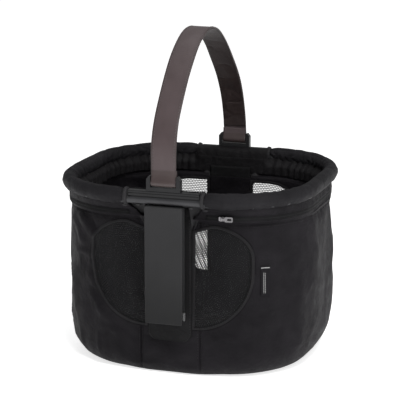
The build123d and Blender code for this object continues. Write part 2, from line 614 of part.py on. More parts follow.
PULL_LENGTH = 17.0
PULL_WIDTH = 8.0
PULL_T = 1.4
PULL_CORNER = 2.2
EYE_REACH = 6.0              # length of the narrow neck between the eye and the plate
EYE_WALL = 1.0
EYE_WIDTH = EAR_SPAN - 4 * FIT
SLOT_LENGTH = 7.0
SLOT_WIDTH = 3.0
pull_plane = slider_plane.offset(PIN_OUT - PULL_T / 2)
with BuildPart() as zip_pull:
    with BuildSketch(pull_plane):
        with Locations((PULL_LENGTH / 2 + EYE_REACH / 2, 0)):
            RectangleRounded(PULL_LENGTH - EYE_REACH + 2, PULL_WIDTH, PULL_CORNER)
        with Locations((EYE_REACH / 2, 0)):
            Rectangle(EYE_REACH, EYE_WIDTH)
        with Locations((PULL_LENGTH / 2 + EYE_REACH / 2 + 1, 0)):
            SlotOverall(SLOT_LENGTH, SLOT_WIDTH, mode=Mode.SUBTRACT)
    extrude(amount=PULL_T)
    eye_low = Plane(slider_plane.origin + Vector(0, -PIN_OUT, -EYE_WIDTH / 2), x_dir=(1, 0, 0),
                    z_dir=(0, 0, 1))
    with BuildSketch(eye_low):
        Circle(PIN_R + EYE_WALL)
    extrude(amount=EYE_WIDTH)
    with BuildSketch(eye_low):
        Circle(PIN_R + FIT)
    extrude(amount=EYE_WIDTH, mode=Mode.SUBTRACT)

save(zip_slider.part.rotate(zip_axis, SLIDER_TURN), "zip_slider")
save(zip_pull.part.rotate(zip_axis, SLIDER_TURN), "zip_pull")

# ---- woven label on the front right corner ------------------------------------------------------
LABEL_TURN = 33.0
LABEL_WIDTH = 13.0
LABEL_HEIGHT = 46.0
LABEL_LEVEL = RIM_LEVEL - 130
LABEL_T = 0.8
label_axis = Axis((BODY_LENGTH - BODY_CORNER, BODY_CORNER - BODY_WIDTH, 0), (0, 0, 1))
with BuildPart() as label_cutter:
    with BuildSketch(Plane(origin=(BODY_LENGTH - BODY_CORNER, BODY_CORNER - BODY_WIDTH, LABEL_LEVEL),
                           x_dir=(1, 0, 0), z_dir=(0, -1, 0))):
        Rectangle(LABEL_WIDTH, LABEL_HEIGHT)
    extrude(amount=FAR)
with BuildPart() as side_label:
    add(wall_ring(LABEL_T + FIT, FIT, LABEL_LEVEL - LABEL_HEIGHT, LABEL_LEVEL + LABEL_HEIGHT))
    add(label_cutter.part.rotate(label_axis, LABEL_TURN), mode=Mode.INTERSECT)
save(side_label.part, "side_label")

# ---- carrying strap -----------------------------------------------------------------------------
SEWN_T = STRAP_T + LINING_T + 1.0
FOOT_R = STRAP_HALF + FIT    # the moving strap's feet are round about the swing axis
SEWN_TOP = PIVOT_LEVEL - FOOT_R - 3 * FIT
WRAP_R = LOOP_BAR_R + 2 * FIT

with BuildPart() as strap_end:
    with BuildSketch(Plane.YZ.offset(-STRAP_HALF)):
        with Locations((-LOOP_Y, LOOP_BAR_LEVEL)):
            Circle(WRAP_R + STRAP_T)
        with Locations((-LOOP_Y, (LOOP_BAR_LEVEL + SEWN_TOP) / 2)):
            Rectangle(SEWN_T, SEWN_TOP - LOOP_BAR_LEVEL)
        with Locations((-LOOP_Y, LOOP_BAR_LEVEL)):
            Circle(WRAP_R, mode=Mode.SUBTRACT)
    extrude(amount=2 * STRAP_HALF)
for end, turn in ENDS:
    save(strap_end.part.rotate(Axis.Z, turn), f"strap_end_{end}")

# outline of the moving strap seen from the front: straight, with round ends about the swing axis
with BuildPart() as strap_outline:
    with BuildSketch(Plane.XZ.offset(-FAR / 2)):
        with Locations((0, PIVOT_LEVEL + FAR / 2)):
            Rectangle(2 * (STRAP_HALF + CLEAR), FAR)
        with Locations((0, PIVOT_LEVEL)):
            Circle(FOOT_R)
    extrude(amount=FAR)


# points of the strap's middle line, Y and height above its feet; the front half is the fuller one
ARCH_POINTS = ((-ARCH_Y, 0), (-ARCH_Y, 16), (-181, 58), (-158, 102), (-112, 154), (-60, 192), (-8, ARCH_RISE),
               (46, 188.5), (102, 147), (150, 97), (176.5, 46), (184, 16), (ARCH_Y, 0))


ARCH_STEPS = 36
arch_line = Spline(*[(y, ARCH_LEVEL + rise) for y, rise in ARCH_POINTS])


def beside(distance):
    """Points a fixed distance outside the strap's middle line."""
    shares = [n / ARCH_STEPS for n in range(ARCH_STEPS + 1)]
    return [arch_line @ u + (arch_line % u).rotate(Axis.Z, 90) * distance for u in shares]


def arch(outside, inside):
    """Arched band between two offsets from the strap's middle line."""
    with BuildPart() as band:
        with BuildSketch(Plane.YZ.offset(-STRAP_HALF)):
            for distance, how in ((outside, Mode.ADD), (inside, Mode.SUBTRACT)):
                with BuildLine():
                    curve = Spline(*beside(distance))
                    Line(curve @ 1, curve @ 0)
                make_face(mode=how)
        extrude(amount=2 * STRAP_HALF)
        add(strap_outline.part, mode=Mode.INTERSECT)
    return band.part


save(arch(STRAP_T, 0), "handle_strap")
save(arch(-FIT / 2, -LINING_T), "handle_lining")
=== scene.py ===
import math

import bmesh
import bpy
import numpy as np
from mathutils import Matrix, Vector


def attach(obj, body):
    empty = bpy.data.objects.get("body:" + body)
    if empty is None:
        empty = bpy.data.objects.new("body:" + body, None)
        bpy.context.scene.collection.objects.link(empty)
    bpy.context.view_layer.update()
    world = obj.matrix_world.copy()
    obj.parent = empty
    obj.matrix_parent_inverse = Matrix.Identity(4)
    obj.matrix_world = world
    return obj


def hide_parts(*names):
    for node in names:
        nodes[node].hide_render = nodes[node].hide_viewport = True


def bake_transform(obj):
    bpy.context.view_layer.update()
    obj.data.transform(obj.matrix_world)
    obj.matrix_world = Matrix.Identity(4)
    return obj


# Handlebar basket: soft bag, rolls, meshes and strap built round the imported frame. Lengths are millimetres
# in the shape code and become metres in build(); +Z is up and the front is at -Y.

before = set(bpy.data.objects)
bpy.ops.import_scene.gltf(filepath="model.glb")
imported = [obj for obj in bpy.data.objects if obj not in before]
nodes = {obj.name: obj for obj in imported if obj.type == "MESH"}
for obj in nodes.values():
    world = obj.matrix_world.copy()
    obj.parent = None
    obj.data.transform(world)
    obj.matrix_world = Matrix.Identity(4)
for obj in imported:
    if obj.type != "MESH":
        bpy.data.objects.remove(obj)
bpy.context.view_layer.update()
MM = 0.001
ENDS = (("front", -1), ("rear", 1))
SIDES = (("left", -1), ("right", 1))

# ---- outlines: half length, half width, corner radius --------------------------------------------
WALL = (200.0, 158.0, 120.0)
BAND = (199.0, 170.0, 122.0)
RIM = (197.0, 183.0, 130.0)
SKIRT = (183.2, 165.0, 115.5)
CLOTH = 3.0
WALL_TOP = 250.0
ZIP_LOW, ZIP_HIGH = 255.0, 264.0
BAND_TOP = 273.5
SEAM_X = 48.0
COLUMN_X = 36.0
WINDOW_X = 131.0
WINDOW_LOW, WINDOW_HIGH = 77.0, 245.0
FRONT_RUN, SIDE_RUN = WALL[0] - WALL[2], WALL[1] - WALL[2]
CORNER_RUN = 188.5           # length of one corner of the wall's outline
HALF_LAP = 613.0             # length of the wall's outline from the front middle to the rear middle
TOP_SEAM = WALL_TOP - 5.5


def ring(q, shape):
    """Points and outward normals on a rounded rectangle.
    q counts three spans to each quarter from the front's middle: straight front, corner, straight side."""
    q = np.asarray(q, float) % 12
    quarter = np.clip((q // 3).astype(int), 0, 3)
    k = np.where(quarter % 2 == 0, q - 3 * quarter, 3 * (quarter + 1) - q)
    half_x, half_y, corner = shape
    turn = np.clip(k - 1, 0, 1) * math.pi / 2
    x = (half_x - corner) * np.clip(k, 0, 1) + corner * np.sin(turn)
    y = -(half_y - corner) * (1 - np.clip(k - 2, 0, 1)) - corner * np.cos(turn)
    side = np.where(quarter < 2, 1.0, -1.0)
    front = np.where((quarter == 0) | (quarter == 3), 1.0, -1.0)
    return x * side, y * front, np.sin(turn) * side, -np.cos(turn) * front, k


def arc_length(q):
    """Distance along the wall from the front's middle, negative on the left."""
    q = np.asarray(q, float) % 12
    quarter = np.clip((q // 3).astype(int), 0, 3)
    k = np.where(quarter % 2 == 0, q - 3 * quarter, 3 * (quarter + 1) - q)
    run = (FRONT_RUN * np.clip(k, 0, 1) + CORNER_RUN * np.clip(k - 1, 0, 1)
           + SIDE_RUN * np.clip(k - 2, 0, 1))
    run = np.where((quarter == 1) | (quarter == 2), HALF_LAP - run, run)
    return np.where(quarter < 2, run, -run)


def q_of_x(x):
    """Place on the front right quarter of the wall that is x from the middle."""
    if x <= FRONT_RUN:
        return x / FRONT_RUN
    return 1 + math.asin((x - FRONT_RUN) / WALL[2]) / (math.pi / 2)


Q_WINDOW = q_of_x(WINDOW_X)
Q_SEAM = q_of_x(SEAM_X)
Q_COLUMN = q_of_x(COLUMN_X)


def value_noise(p, seed):
    """Smooth seeded noise from -1 to 1 with one cell to the unit."""
    table = np.random.RandomState(seed).uniform(-1, 1, 4096)
    cell = np.floor(p).astype(np.int64)
    f = p - cell
    f = f * f * (3 - 2 * f)
    total = np.zeros(p.shape[:-1])
    for dx in (0, 1):
        for dy in (0, 1):
            for dz in (0, 1):
                h = (((cell[..., 0] + dx) * 73856093) ^ ((cell[..., 1] + dy) * 19349663)
                     ^ ((cell[..., 2] + dz) * 83492791))
                w = (f[..., 0] if dx else 1 - f[..., 0]) * (f[..., 1] if dy else 1 - f[..., 1])
                total += w * (f[..., 2] if dz else 1 - f[..., 2]) * table[h & 4095]
    return total


def smooth(t):
    """Rises from 0 to 1 with level ends."""
    t = np.clip(t, 0, 1)
    return t * t * (3 - 2 * t)


# ---- the bag's skin ------------------------------------------------------------------------------
# folds in the cloth: start (along the wall, height), end, half width and height of the ridge
FOLDS = (
    (-176, 252, -122, 212, 9, 4.6), (-156, 248, -118, 222, 6, -3.0), (-190, 232, -146, 196, 9, 3.4),
    (-184, 176, -131, 186, 7, 2.8), (-150, 152, -126, 130, 6, 2.4), (-144, 120, -112, 86, 7, 2.6),
    (-128, 96, -78, 60, 7, 2.0), (-100, 74, -52, 56, 5, -1.6), (-196, 150, -150, 60, 16, 2.2),
    (108, 252, 150, 240, 6, 2.4), (150, 238, 196, 205, 9, 2.0), (206, 150, 214, 36, 13, 3.2),
    (172, 120, 160, 30, 14, -2.0), (128, 92, 168, 62, 7, 2.0), (70, 62, 118, 70, 6, 1.8),
    (150, 215, 160, 196, 5, 1.6), (240, 240, 262, 170, 14, 2.2), (300, 246, 292, 120, 18, 2.0),
    (-250, 244, -262, 150, 15, 2.2), (-310, 238, -300, 90, 18, -2.0), (-360, 240, -352, 160, 12, 2.0),
    (352, 244, 366, 150, 13, 2.2), (430, 250, 462, 214, 9, 2.6), (-432, 250, -470, 210, 9, 2.6),
    (455, 100, 500, 60, 7, 2.0), (-450, 92, -502, 62, 7, 2.0), (395, 120, 408, 34, 13, 2.6),
    (-398, 140, -410, 40, 13, 2.6), (560, 60, 600, 44, 6, 1.6), (-566, 58, -596, 46, 6, 1.6),
    (-36, 60, 44, 52, 7, -2.4), (-40, 38, 34, 34, 9, 2.6), (-20, 24, 40, 16, 7, 1.6),
    (574, 46, -574, 40, 9, 2.4),
)


def relief(q, z):
    """How far the cloth stands out of its plain outline: fullness, sag, folds and small creases."""
    x, y, _, _, k = ring(q, WALL)
    s = arc_length(q)
    p = np.stack(np.broadcast_arrays(x, y, z), axis=-1)
    up = np.clip(np.asarray(z, float) / WALL_TOP, 0, 1)
    d = (1.0 + (1.6 + 1.0 * smooth(x / 60)) * smooth(k - 1.2)) * np.sin(math.pi * up) ** 0.8
    d = d + 3.6 * np.exp(-((np.asarray(z, float) - 30) / 20) ** 2) * (1 - smooth(k / 1.4))
    for s0, z0, s1, z1, width, height in FOLDS:
        span = (s1 - s0 + HALF_LAP) % (2 * HALF_LAP) - HALF_LAP
        ds = (s - s0 + HALF_LAP) % (2 * HALF_LAP) - HALF_LAP
        length = math.hypot(span, z1 - z0)
        along = (ds * span + (z - z0) * (z1 - z0)) / length
        across = (ds * (z1 - z0) - (z - z0) * span) / length + 3.0 * np.sin(along / 11.0)
        fade = smooth((along + 12) / 26) * smooth((length + 12 - along) / 26)
        d = d + height * np.exp(-(across / width) ** 2) * fade
    # the corners are drawn in low down, and the right side is the fuller one
    d = d - 3.0 * smooth(1 - np.asarray(z, float) / 90) * smooth(1 - np.abs(k - 1.75) / 0.9)
    d = d + 2.6 * smooth(x / 190) * np.sin(math.pi * up) ** 2
    d = d + 2.2 * value_noise(p / (64, 64, 80), 3)
    crease = 1 - np.abs(value_noise(p / (46, 46, 60) + 9.3, 5))
    d = d + (2.1 - 1.0 * smooth(x / 120)) * crease ** 6
    crease = 1 - np.abs(value_noise(p / (24, 24, 40) + 4.1, 8))
    d = d + (0.8 - 0.3 * smooth(x / 120)) * crease ** 6
    # sewn edges hold the cloth down: at the top, and at the seams of the centre panels
    pucker = 0.8 * np.sin(s / 2.6 + 2.5 * value_noise(p / 30, 11))
    edge = np.exp(-((z - WALL_TOP) / 9) ** 2)
    d = d * (1 - edge) + pucker * edge * 0.7
    seam_gap = np.minimum(np.abs(np.abs(s) - SEAM_X), np.abs(np.abs(s) - HALF_LAP + SEAM_X))
    return d - 1.6 * np.exp(-(seam_gap / 2.2) ** 2) * smooth((WINDOW_LOW + 6 - z) / 12)


def base_radius(k, x):
    """Radius of the base edge: small at the front and rear, large round the sides, larger on the right."""
    return 15 + (22 + 8 * (x > 0)) * smooth((k - 0.4) / 1.2)


def window_edges(q):
    """Lower and upper height of the mesh at q; beyond the window the two lines run on across the side."""
    x, y, _, _, k = ring(q, WALL)
    a = np.abs(x)
    low = WINDOW_LOW + 96 * (1 - np.sqrt(1 - (np.clip(a - 40, 0, 91) / 91) ** 2 + 1e-9))
    high = WINDOW_HIGH - 50 * (1 - np.sqrt(1 - (np.clip(a - 66, 0, 65) / 65) ** 2 + 1e-9))
    high = np.where(y < 0, high - 11 * smooth((76 - a) / 44), high + 2.5)
    beyond = smooth((k - Q_WINDOW) / 0.55)
    return low * (1 - beyond) + 84 * beyond, high * (1 - beyond) + 226 * beyond


def skin(q, z, offset=0.0):
    """Point on the bag's upright wall, moved out by offset."""
    x, y, nx, ny, _ = ring(q, WALL)
    d = relief(q, z) + offset
    return np.stack(np.broadcast_arrays(x + nx * d, y + ny * d, z), axis=-1).astype(float)


def wall(q, rows):
    """The whole skin: rows run 0-1 round the base edge, 1-2 to the window's lower edge, 2-3 to its upper
    edge and 3-4 to the band."""
    q, rows = np.asarray(q, float)[None, :], np.asarray(rows, float)[:, None]
    x, _, _, _, k = ring(q, WALL)
    low, high = window_edges(q)
    radius = base_radius(k, x)
    turn = np.clip(rows, 0, 1) * math.pi / 2
    inward = radius * (1 - np.sin(turn))
    z = radius * (1 - np.cos(turn)) + (low - radius) * np.clip(rows - 1, 0, 1)
    z = z + (high - low) * np.clip(rows - 2, 0, 1) + (WALL_TOP - high) * np.clip(rows - 3, 0, 1)
    x, y, nx, ny, _ = ring(q, [v - inward for v in WALL])
    d = relief(q, z) * np.sin(turn) ** 2
    return xyz(x + nx * d, y + ny * d, z + 0 * x)


# ---- meshes --------------------------------------------------------------------------------------
def patch(points, wrap=False, caps=False, keep=None):
    """Quads through points[row][column]; wrap joins the last column to the first."""
    points = np.asarray(points, float)
    rows, columns = points.shape[:2]
    step_u = np.linalg.norm(np.diff(points, axis=1), axis=2).mean(axis=0)
    step_v = np.linalg.norm(np.diff(points, axis=0), axis=2).mean(axis=1)
    u = np.concatenate(([0], np.cumsum(step_u)))
    v = np.concatenate(([0], np.cumsum(step_v)))
    cloth = np.stack(np.broadcast_arrays(u[None, :], v[:, None], np.zeros((1, 1))), axis=-1)
    faces = []
    for i in range(rows - 1):
        for j in range(columns if wrap else columns - 1):
            if keep is None or keep(i, j):
                n = (j + 1) % columns
                faces.append((i * columns + j, i * columns + n, (i + 1) * columns + n, (i + 1) * columns + j))
    if caps:
        faces.append(tuple(range(columns))[::-1])
        faces.append(tuple((rows - 1) * columns + j for j in range(columns)))
    return points.reshape(-1, 3), faces, cloth.reshape(-1, 3)


def sweep(centres, across, up, section, wrap_ends=False):
    """Closed section carried along a line; section is (points, 2) or (stations, points, 2)."""
    section = np.asarray(section, float)
    if section.ndim == 2:
        section = np.broadcast_to(section, (len(centres),) + section.shape)
    points = (centres[:, None, :] + across[:, None, :] * section[:, :, :1]
              + up[:, None, :] * section[:, :, 1:2])
    if wrap_ends:
        points = np.concatenate((points, points[:1]))
    return patch(points, wrap=True, caps=not wrap_ends)


def build(name, patches, finish, slot=None, body="frame", replaces=(), closed=False):
    """One piece from its patches, with a material and a body to ride on."""
    mesh = bpy.data.meshes.new(name)
    verts, faces, cloth, start = [], [], [], 0
    for v, f, c in patches:
        verts.append(v * MM)
        faces.extend(tuple(i + start for i in face) for face in f)
        cloth.append(c * MM)
        start += len(v)
    mesh.from_pydata(np.concatenate(verts).tolist(), [], faces)
    layer = mesh.attributes.new("cloth", "FLOAT_VECTOR", "POINT")
    layer.data.foreach_set("vector", np.concatenate(cloth).ravel().astype(np.float32))
    bm = bmesh.new()
    bm.from_mesh(mesh)
    bmesh.ops.delete(bm, geom=[v for v in bm.verts if not v.link_faces], context="VERTS")
    if closed:
        bmesh.ops.recalc_face_normals(bm, faces=bm.faces)
    bm.to_mesh(mesh)
    bm.free()
    mesh.polygons.foreach_set("use_smooth", [True] * len(mesh.polygons))
    obj = bpy.data.objects.new(name, mesh)
    bpy.context.scene.collection.objects.link(obj)
    mesh.materials.append(finish)
    if body:
        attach(obj, body)
    if replaces:
        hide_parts(*replaces)
    return obj


def thicken(obj, amount, offset=-1.0):
    """Gives a sheet its thickness, inwards unless offset says otherwise."""
    solid = obj.modifiers.new("thickness", "SOLIDIFY")
    solid.thickness = amount * MM
    solid.offset = offset
    solid.use_even_offset = False
    shade = obj.modifiers.new("normals", "WEIGHTED_NORMAL")
    shade.keep_sharp = True
    return obj


def tube_section(rx, rz, count):
    angle = np.radians(-90.0 + np.arange(count) * 360.0 / count)
    return np.stack((rx * np.cos(angle), rz * np.sin(angle)), axis=-1)


def rounded_bar(x0, x1, y0, y1, r, steps=3):
    """Rounded rectangular section, counterclockwise."""
    out = []
    for cx, cy, first in ((x1 - r, y0 + r, -90), (x1 - r, y1 - r, 0),
                          (x0 + r, y1 - r, 90), (x0 + r, y0 + r, 180)):
        for i in range(steps + 1):
            a = math.radians(first + 90 * i / steps)
            out.append((cx + r * math.cos(a), cy + r * math.sin(a)))
    return np.array(out)


def xyz(x, y, z):
    """Points from arrays of their three coordinates."""
    return np.stack((x, y, z), axis=-1)


def everywhere(direction, line):
    """One direction, repeated for each point of a line."""
    return np.tile(direction, (len(line), 1))


def half_ring(first, counts, start):
    """Places along one side of the ring, from first on the front's straight to its like at the rear."""
    quarter = np.concatenate((np.linspace(first, 1, counts[0]), np.linspace(1, 2, counts[1])[1:],
                              np.linspace(2, 3, counts[2])[1:]))
    return np.concatenate((quarter, 6 - quarter[-2::-1])) + start


def unit(v):
    return v / np.maximum(np.linalg.norm(v, axis=-1, keepdims=True), 1e-9)


def tangents(points, closed=False):
    if closed:
        return unit(np.roll(points, -1, axis=0) - np.roll(points, 1, axis=0))
    return unit(np.gradient(points, axis=0))


def distances(line):
    """Distance from the start of a line to each of its points."""
    return np.concatenate(([0], np.cumsum(np.linalg.norm(np.diff(line, axis=0), axis=1))))


def read_at(at, run, values):
    """Values given along a line, read at the distances in at."""
    return np.stack([np.interp(at, run, values[:, i]) for i in range(3)], axis=-1)


def resample(points, pitch):
    """Points at an even pitch along a line."""
    run = distances(points)
    count = max(2, int(round(run[-1] / pitch)))
    return read_at(np.linspace(0, run[-1], count + 1), run, points)


def stitches(line, normals, pitch=4.2, length=2.9, radius=0.34):
    """Short thread stitches laid along a line on a surface."""
    run = distances(line)
    at = np.arange(pitch, run[-1] - pitch / 2, pitch)
    here, ahead = read_at(at, run, line), read_at(at + 0.5, run, line)
    out = unit(read_at(at, run, normals))
    along = unit(ahead - here)
    side = np.cross(out, along)
    verts, faces = [], []
    for c, t, b, n in zip(here, along, side, out):
        k = len(verts)
        for f, r in ((-0.5, 0), (-0.3, 1), (0.3, 1), (0.5, 0)):
            if r:
                verts += [c + t * f * length + b * radius, c + t * f * length + n * radius * 1.2,
                          c + t * f * length - b * radius, c + t * f * length - n * radius]
            else:
                verts.append(c + t * f * length - n * radius)
        for i in range(4):
            n1 = (i + 1) % 4
            faces += [(k, k + 1 + n1, k + 1 + i), (k + 1 + i, k + 1 + n1, k + 5 + n1, k + 5 + i),
                      (k + 5 + i, k + 5 + n1, k + 9)]
    return np.array(verts), faces, np.array(verts)


# ---- materials -----------------------------------------------------------------------------------
class Finish:
    """A Principled material and short ways to add the nodes that feed it."""

    def __init__(self, name, roughness=0.6, specular=0.5, metallic=0.0):
        self.material = bpy.data.materials.new(name)
        self.material.use_nodes = True
        self.tree = self.material.node_tree
        self.shader = self.tree.nodes["Principled BSDF"]
        for socket, value in (("Roughness", roughness), ("Specular IOR Level", specular),
                              ("Metallic", metallic)):
            self.shader.inputs[socket].default_value = value
        self.place = self.node("ShaderNodeTexCoord").outputs["Object"]
        cloth = self.node("ShaderNodeAttribute")
        cloth.attribute_name = "cloth"
        self.cloth = cloth.outputs["Vector"]
        self.height = None

    def node(self, kind, **settings):
        """A new node with its settings."""
        made = self.tree.nodes.new(kind)
        for key, value in settings.items():
            setattr(made, key, value)
        return made

    def feed(self, socket, value):
        """Links an output to a socket, or sets a plain value on it."""
        if isinstance(value, bpy.types.NodeSocket):
            self.tree.links.new(value, socket)
        else:
            socket.default_value = value

    def maths(self, operation, a, b=0.0):
        made = self.node("ShaderNodeMath", operation=operation)
        for socket, value in zip(made.inputs, (a, b)):
            self.feed(socket, value)
        return made.outputs[0]

    def axis(self, vector, index):
        """One coordinate of a vector."""
        made = self.node("ShaderNodeSeparateXYZ")
        self.feed(made.inputs[0], vector)
        return made.outputs[index]

    def vectors(self, operation, a, b=(0, 0, 0), output=0):
        made = self.node("ShaderNodeVectorMath", operation=operation)
        self.feed(made.inputs[0], a)
        made.inputs[1].default_value = b
        return made.outputs[output]

    def tint(self, tone, factor):
        """Base colour that is tone times another colour."""
        made = self.node("ShaderNodeMix", data_type="RGBA", blend_type="MULTIPLY")
        made.inputs["Factor"].default_value = 1.0
        self.feed(made.inputs["A"], tone)
        self.feed(made.inputs["B"], factor)
        self.feed(self.shader.inputs["Base Color"], made.outputs["Result"])

    def scaled(self, vector, factors):
        made = self.node("ShaderNodeMapping")
        self.feed(made.inputs["Vector"], vector)
        made.inputs["Scale"].default_value = factors
        return made.outputs[0]

    def noise(self, vector, scale, detail=3.0, roughness=0.55, distortion=0.0):
        made = self.node("ShaderNodeTexNoise")
        self.feed(made.inputs["Vector"], vector)
        for socket, value in (("Scale", scale), ("Detail", detail), ("Roughness", roughness),
                              ("Distortion", distortion)):
            made.inputs[socket].default_value = value
        return made.outputs["Fac"]

    def cells(self, vector, scale):
        made = self.node("ShaderNodeTexVoronoi")
        self.feed(made.inputs["Vector"], vector)
        made.inputs["Scale"].default_value = scale
        return made.outputs["Distance"]

    def ramp(self, factor, low, high, colour_low, colour_high):
        made = self.node("ShaderNodeValToRGB")
        self.feed(made.inputs[0], factor)
        made.color_ramp.elements[0].position = low
        made.color_ramp.elements[1].position = high
        made.color_ramp.elements[0].color = (*colour_low, 1)
        made.color_ramp.elements[1].color = (*colour_high, 1)
        return made.outputs[0]

    def span(self, factor, from_low, from_high, to_low, to_high):
        made = self.node("ShaderNodeMapRange")
        for socket, value in zip(made.inputs, (factor, from_low, from_high, to_low, to_high)):
            self.feed(socket, value)
        return made.outputs[0]

    def paint(self, dark, light, scale, low=0.32, high=0.68):
        """Base colour that wanders between two tones."""
        tone = self.ramp(self.noise(self.place, scale, 5.0), low, high, dark, light)
        self.feed(self.shader.inputs["Base Color"], tone)
        return tone

    def bump(self, height, distance, strength=1.0):
        """Adds a height in metres to the surface's relief."""
        made = self.node("ShaderNodeBump")
        made.inputs["Distance"].default_value = distance
        made.inputs["Strength"].default_value = strength
        self.feed(made.inputs["Height"], height)
        if self.height is not None:
            self.feed(made.inputs["Normal"], self.height)
        self.height = made.outputs[0]
        self.feed(self.shader.inputs["Normal"], self.height)
        return self

    def weave(self, vector, pitch):
        """Plain weave: crossing threads that pass over and under in turn. The height is 0 to 1."""
        over = self.node("ShaderNodeTexChecker")
        self.feed(over.inputs["Vector"], vector)
        over.inputs["Scale"].default_value = 1 / pitch
        warp, weft = self.ribs(vector, pitch, 0), self.ribs(vector, pitch, 1)
        picked = self.maths("MULTIPLY", warp, over.outputs["Fac"])
        other = self.maths("MULTIPLY", weft, self.maths("SUBTRACT", 1.0, over.outputs["Fac"]))
        return self.maths("ADD", picked, other)

    def ribs(self, vector, pitch, index):
        """Parallel cords across one axis. The height is 0 to 1."""
        turns = self.maths("MULTIPLY", self.axis(vector, index), math.pi / pitch)
        return self.maths("ABSOLUTE", self.maths("SINE", turns))


def fabric(name, dark, light, roughness=0.62, specular=0.3, pitch=0.0007,
           crease=0.0005):
    """Woven cloth with fine threads, slight tone changes and soft small creases."""
    f = Finish(name, roughness, specular)
    tone = f.paint(dark, light, 16.0)
    threads = f.weave(f.cloth, pitch)
    # painted shade: the colour is darkened in the low places between the threads
    f.tint(tone, f.ramp(threads, 0.0, 0.8, (0.62, 0.62, 0.62), (1, 1, 1)))
    f.feed(f.shader.inputs["Roughness"],
           f.span(f.noise(f.place, 60.0), 0.3, 0.7, roughness - 0.07, roughness + 0.08))
    f.bump(f.noise(f.place, 42.0, 4.0, 0.6, 0.6), crease * 4)
    f.bump(f.noise(f.place, 190.0, 3.0), crease)
    f.bump(threads, 0.00012, 0.7)
    return f.material


def plastic(name, dark, light, roughness, specular=0.5, painted_shade_low=1.0):
    """Moulded plastic: fine spark-eroded grain, slight flow marks, rubbed patches, and painted shade that
    darkens it towards the bottom.
    """
    f = Finish(name, roughness, specular)
    tone = f.paint(dark, light, 9.0, 0.3, 0.75)
    # painted shade: the colour is darkened low down, standing in for less light falling there
    f.tint(tone, f.ramp(f.axis(f.place, 2), 0.10, 0.27, (painted_shade_low, painted_shade_low, painted_shade_low), (1, 1, 1)))
    wear = f.noise(f.scaled(f.place, (1, 1, 0.25)), 38.0, 6.0, 0.65)
    f.feed(f.shader.inputs["Roughness"], f.span(wear, 0.35, 0.7, roughness - 0.08, roughness + 0.08))
    f.bump(f.cells(f.place, 1500.0), 0.00006)
    f.bump(f.noise(f.place, 24.0, 2.0), 0.0004, 0.35)
    return f.material


def metal(name, dark, light, roughness, metallic=1.0, brush=(1, 1, 1)):
    """Metal with brushed or cast streaks and fine handling scratches."""
    f = Finish(name, roughness, 0.5, metallic)
    f.paint(dark, light, 30.0)
    streaks = f.noise(f.scaled(f.place, brush), 420.0, 4.0, 0.6)
    f.feed(f.shader.inputs["Roughness"], f.span(streaks, 0.3, 0.7, roughness - 0.06, roughness + 0.1))
    f.bump(streaks, 0.00004)
    f.bump(f.noise(f.place, 16.0, 2.0), 0.0003, 0.2)
    return f.material


def netting(name, colour, pitch, hole):
    """Open hexagonal mesh: round holes set in staggered rows, knitted ribs between them."""
    f = Finish(name, 0.75, 0.25)
    f.paint(tuple(0.75 * c for c in colour), colour, 22.0)
    grid = f.vectors("MULTIPLY", f.cloth, (1 / pitch, 1 / (pitch * math.sqrt(3)), 0))
    gaps = []
    for shift in (0.0, 0.5):
        cell = f.vectors("FRACTION", f.vectors("ADD", grid, (shift, shift, 0)))
        centred = f.vectors("SUBTRACT", cell, (0.5, 0.5, 0))
        gaps.append(f.vectors("LENGTH", f.vectors("MULTIPLY", centred, (1, math.sqrt(3), 0)), output="Value"))
    distance = f.maths("MINIMUM", gaps[0], gaps[1])
    f.feed(f.shader.inputs["Alpha"], f.span(distance, hole - 0.08, hole + 0.08, 0.0, 1.0))
    f.bump(distance, 0.0003)
    f.bump(f.noise(f.place, 700.0), 0.00008)
    return f.material


body_cloth = fabric("body_cloth", (0.0068, 0.0060, 0.0074), (0.0140, 0.0125, 0.0150),
                    0.60, 0.09, crease=0.0006)
roll_cloth = fabric("roll_cloth", (0.0110, 0.0104, 0.0120), (0.0185, 0.0175, 0.0200),
                    0.66, 0.12, crease=0.0005)
inner_cloth = fabric("inner_cloth", (0.0060, 0.0054, 0.0062), (0.0105, 0.0095, 0.0108),
                     0.60, 0.16, crease=0.0007)
pad_cloth = fabric("pad_cloth", (0.010, 0.0098, 0.011), (0.017, 0.0165, 0.018), 0.7, 0.25)
column_cloth = fabric("column_cloth", (0.0060, 0.0058, 0.0064), (0.0090, 0.0086, 0.0094), 0.62, 0.14)
front_net = netting("front_net", (0.014, 0.014, 0.015), 0.0030, 0.375)
rear_net = netting("rear_net", (0.026, 0.026, 0.028), 0.0028, 0.342)
tape_cloth = fabric("tape_cloth", (0.021, 0.020, 0.022), (0.032, 0.031, 0.033), 0.7, 0.22, pitch=0.0011)
edge_cloth = fabric("edge_cloth", (0.0105, 0.0100, 0.0110), (0.0170, 0.0162, 0.0175),
                    0.66, 0.14, pitch=0.0011)
zip_cloth = fabric("zip_cloth", (0.006, 0.006, 0.0065), (0.010, 0.0095, 0.0105), 0.7, 0.1, pitch=0.0009)
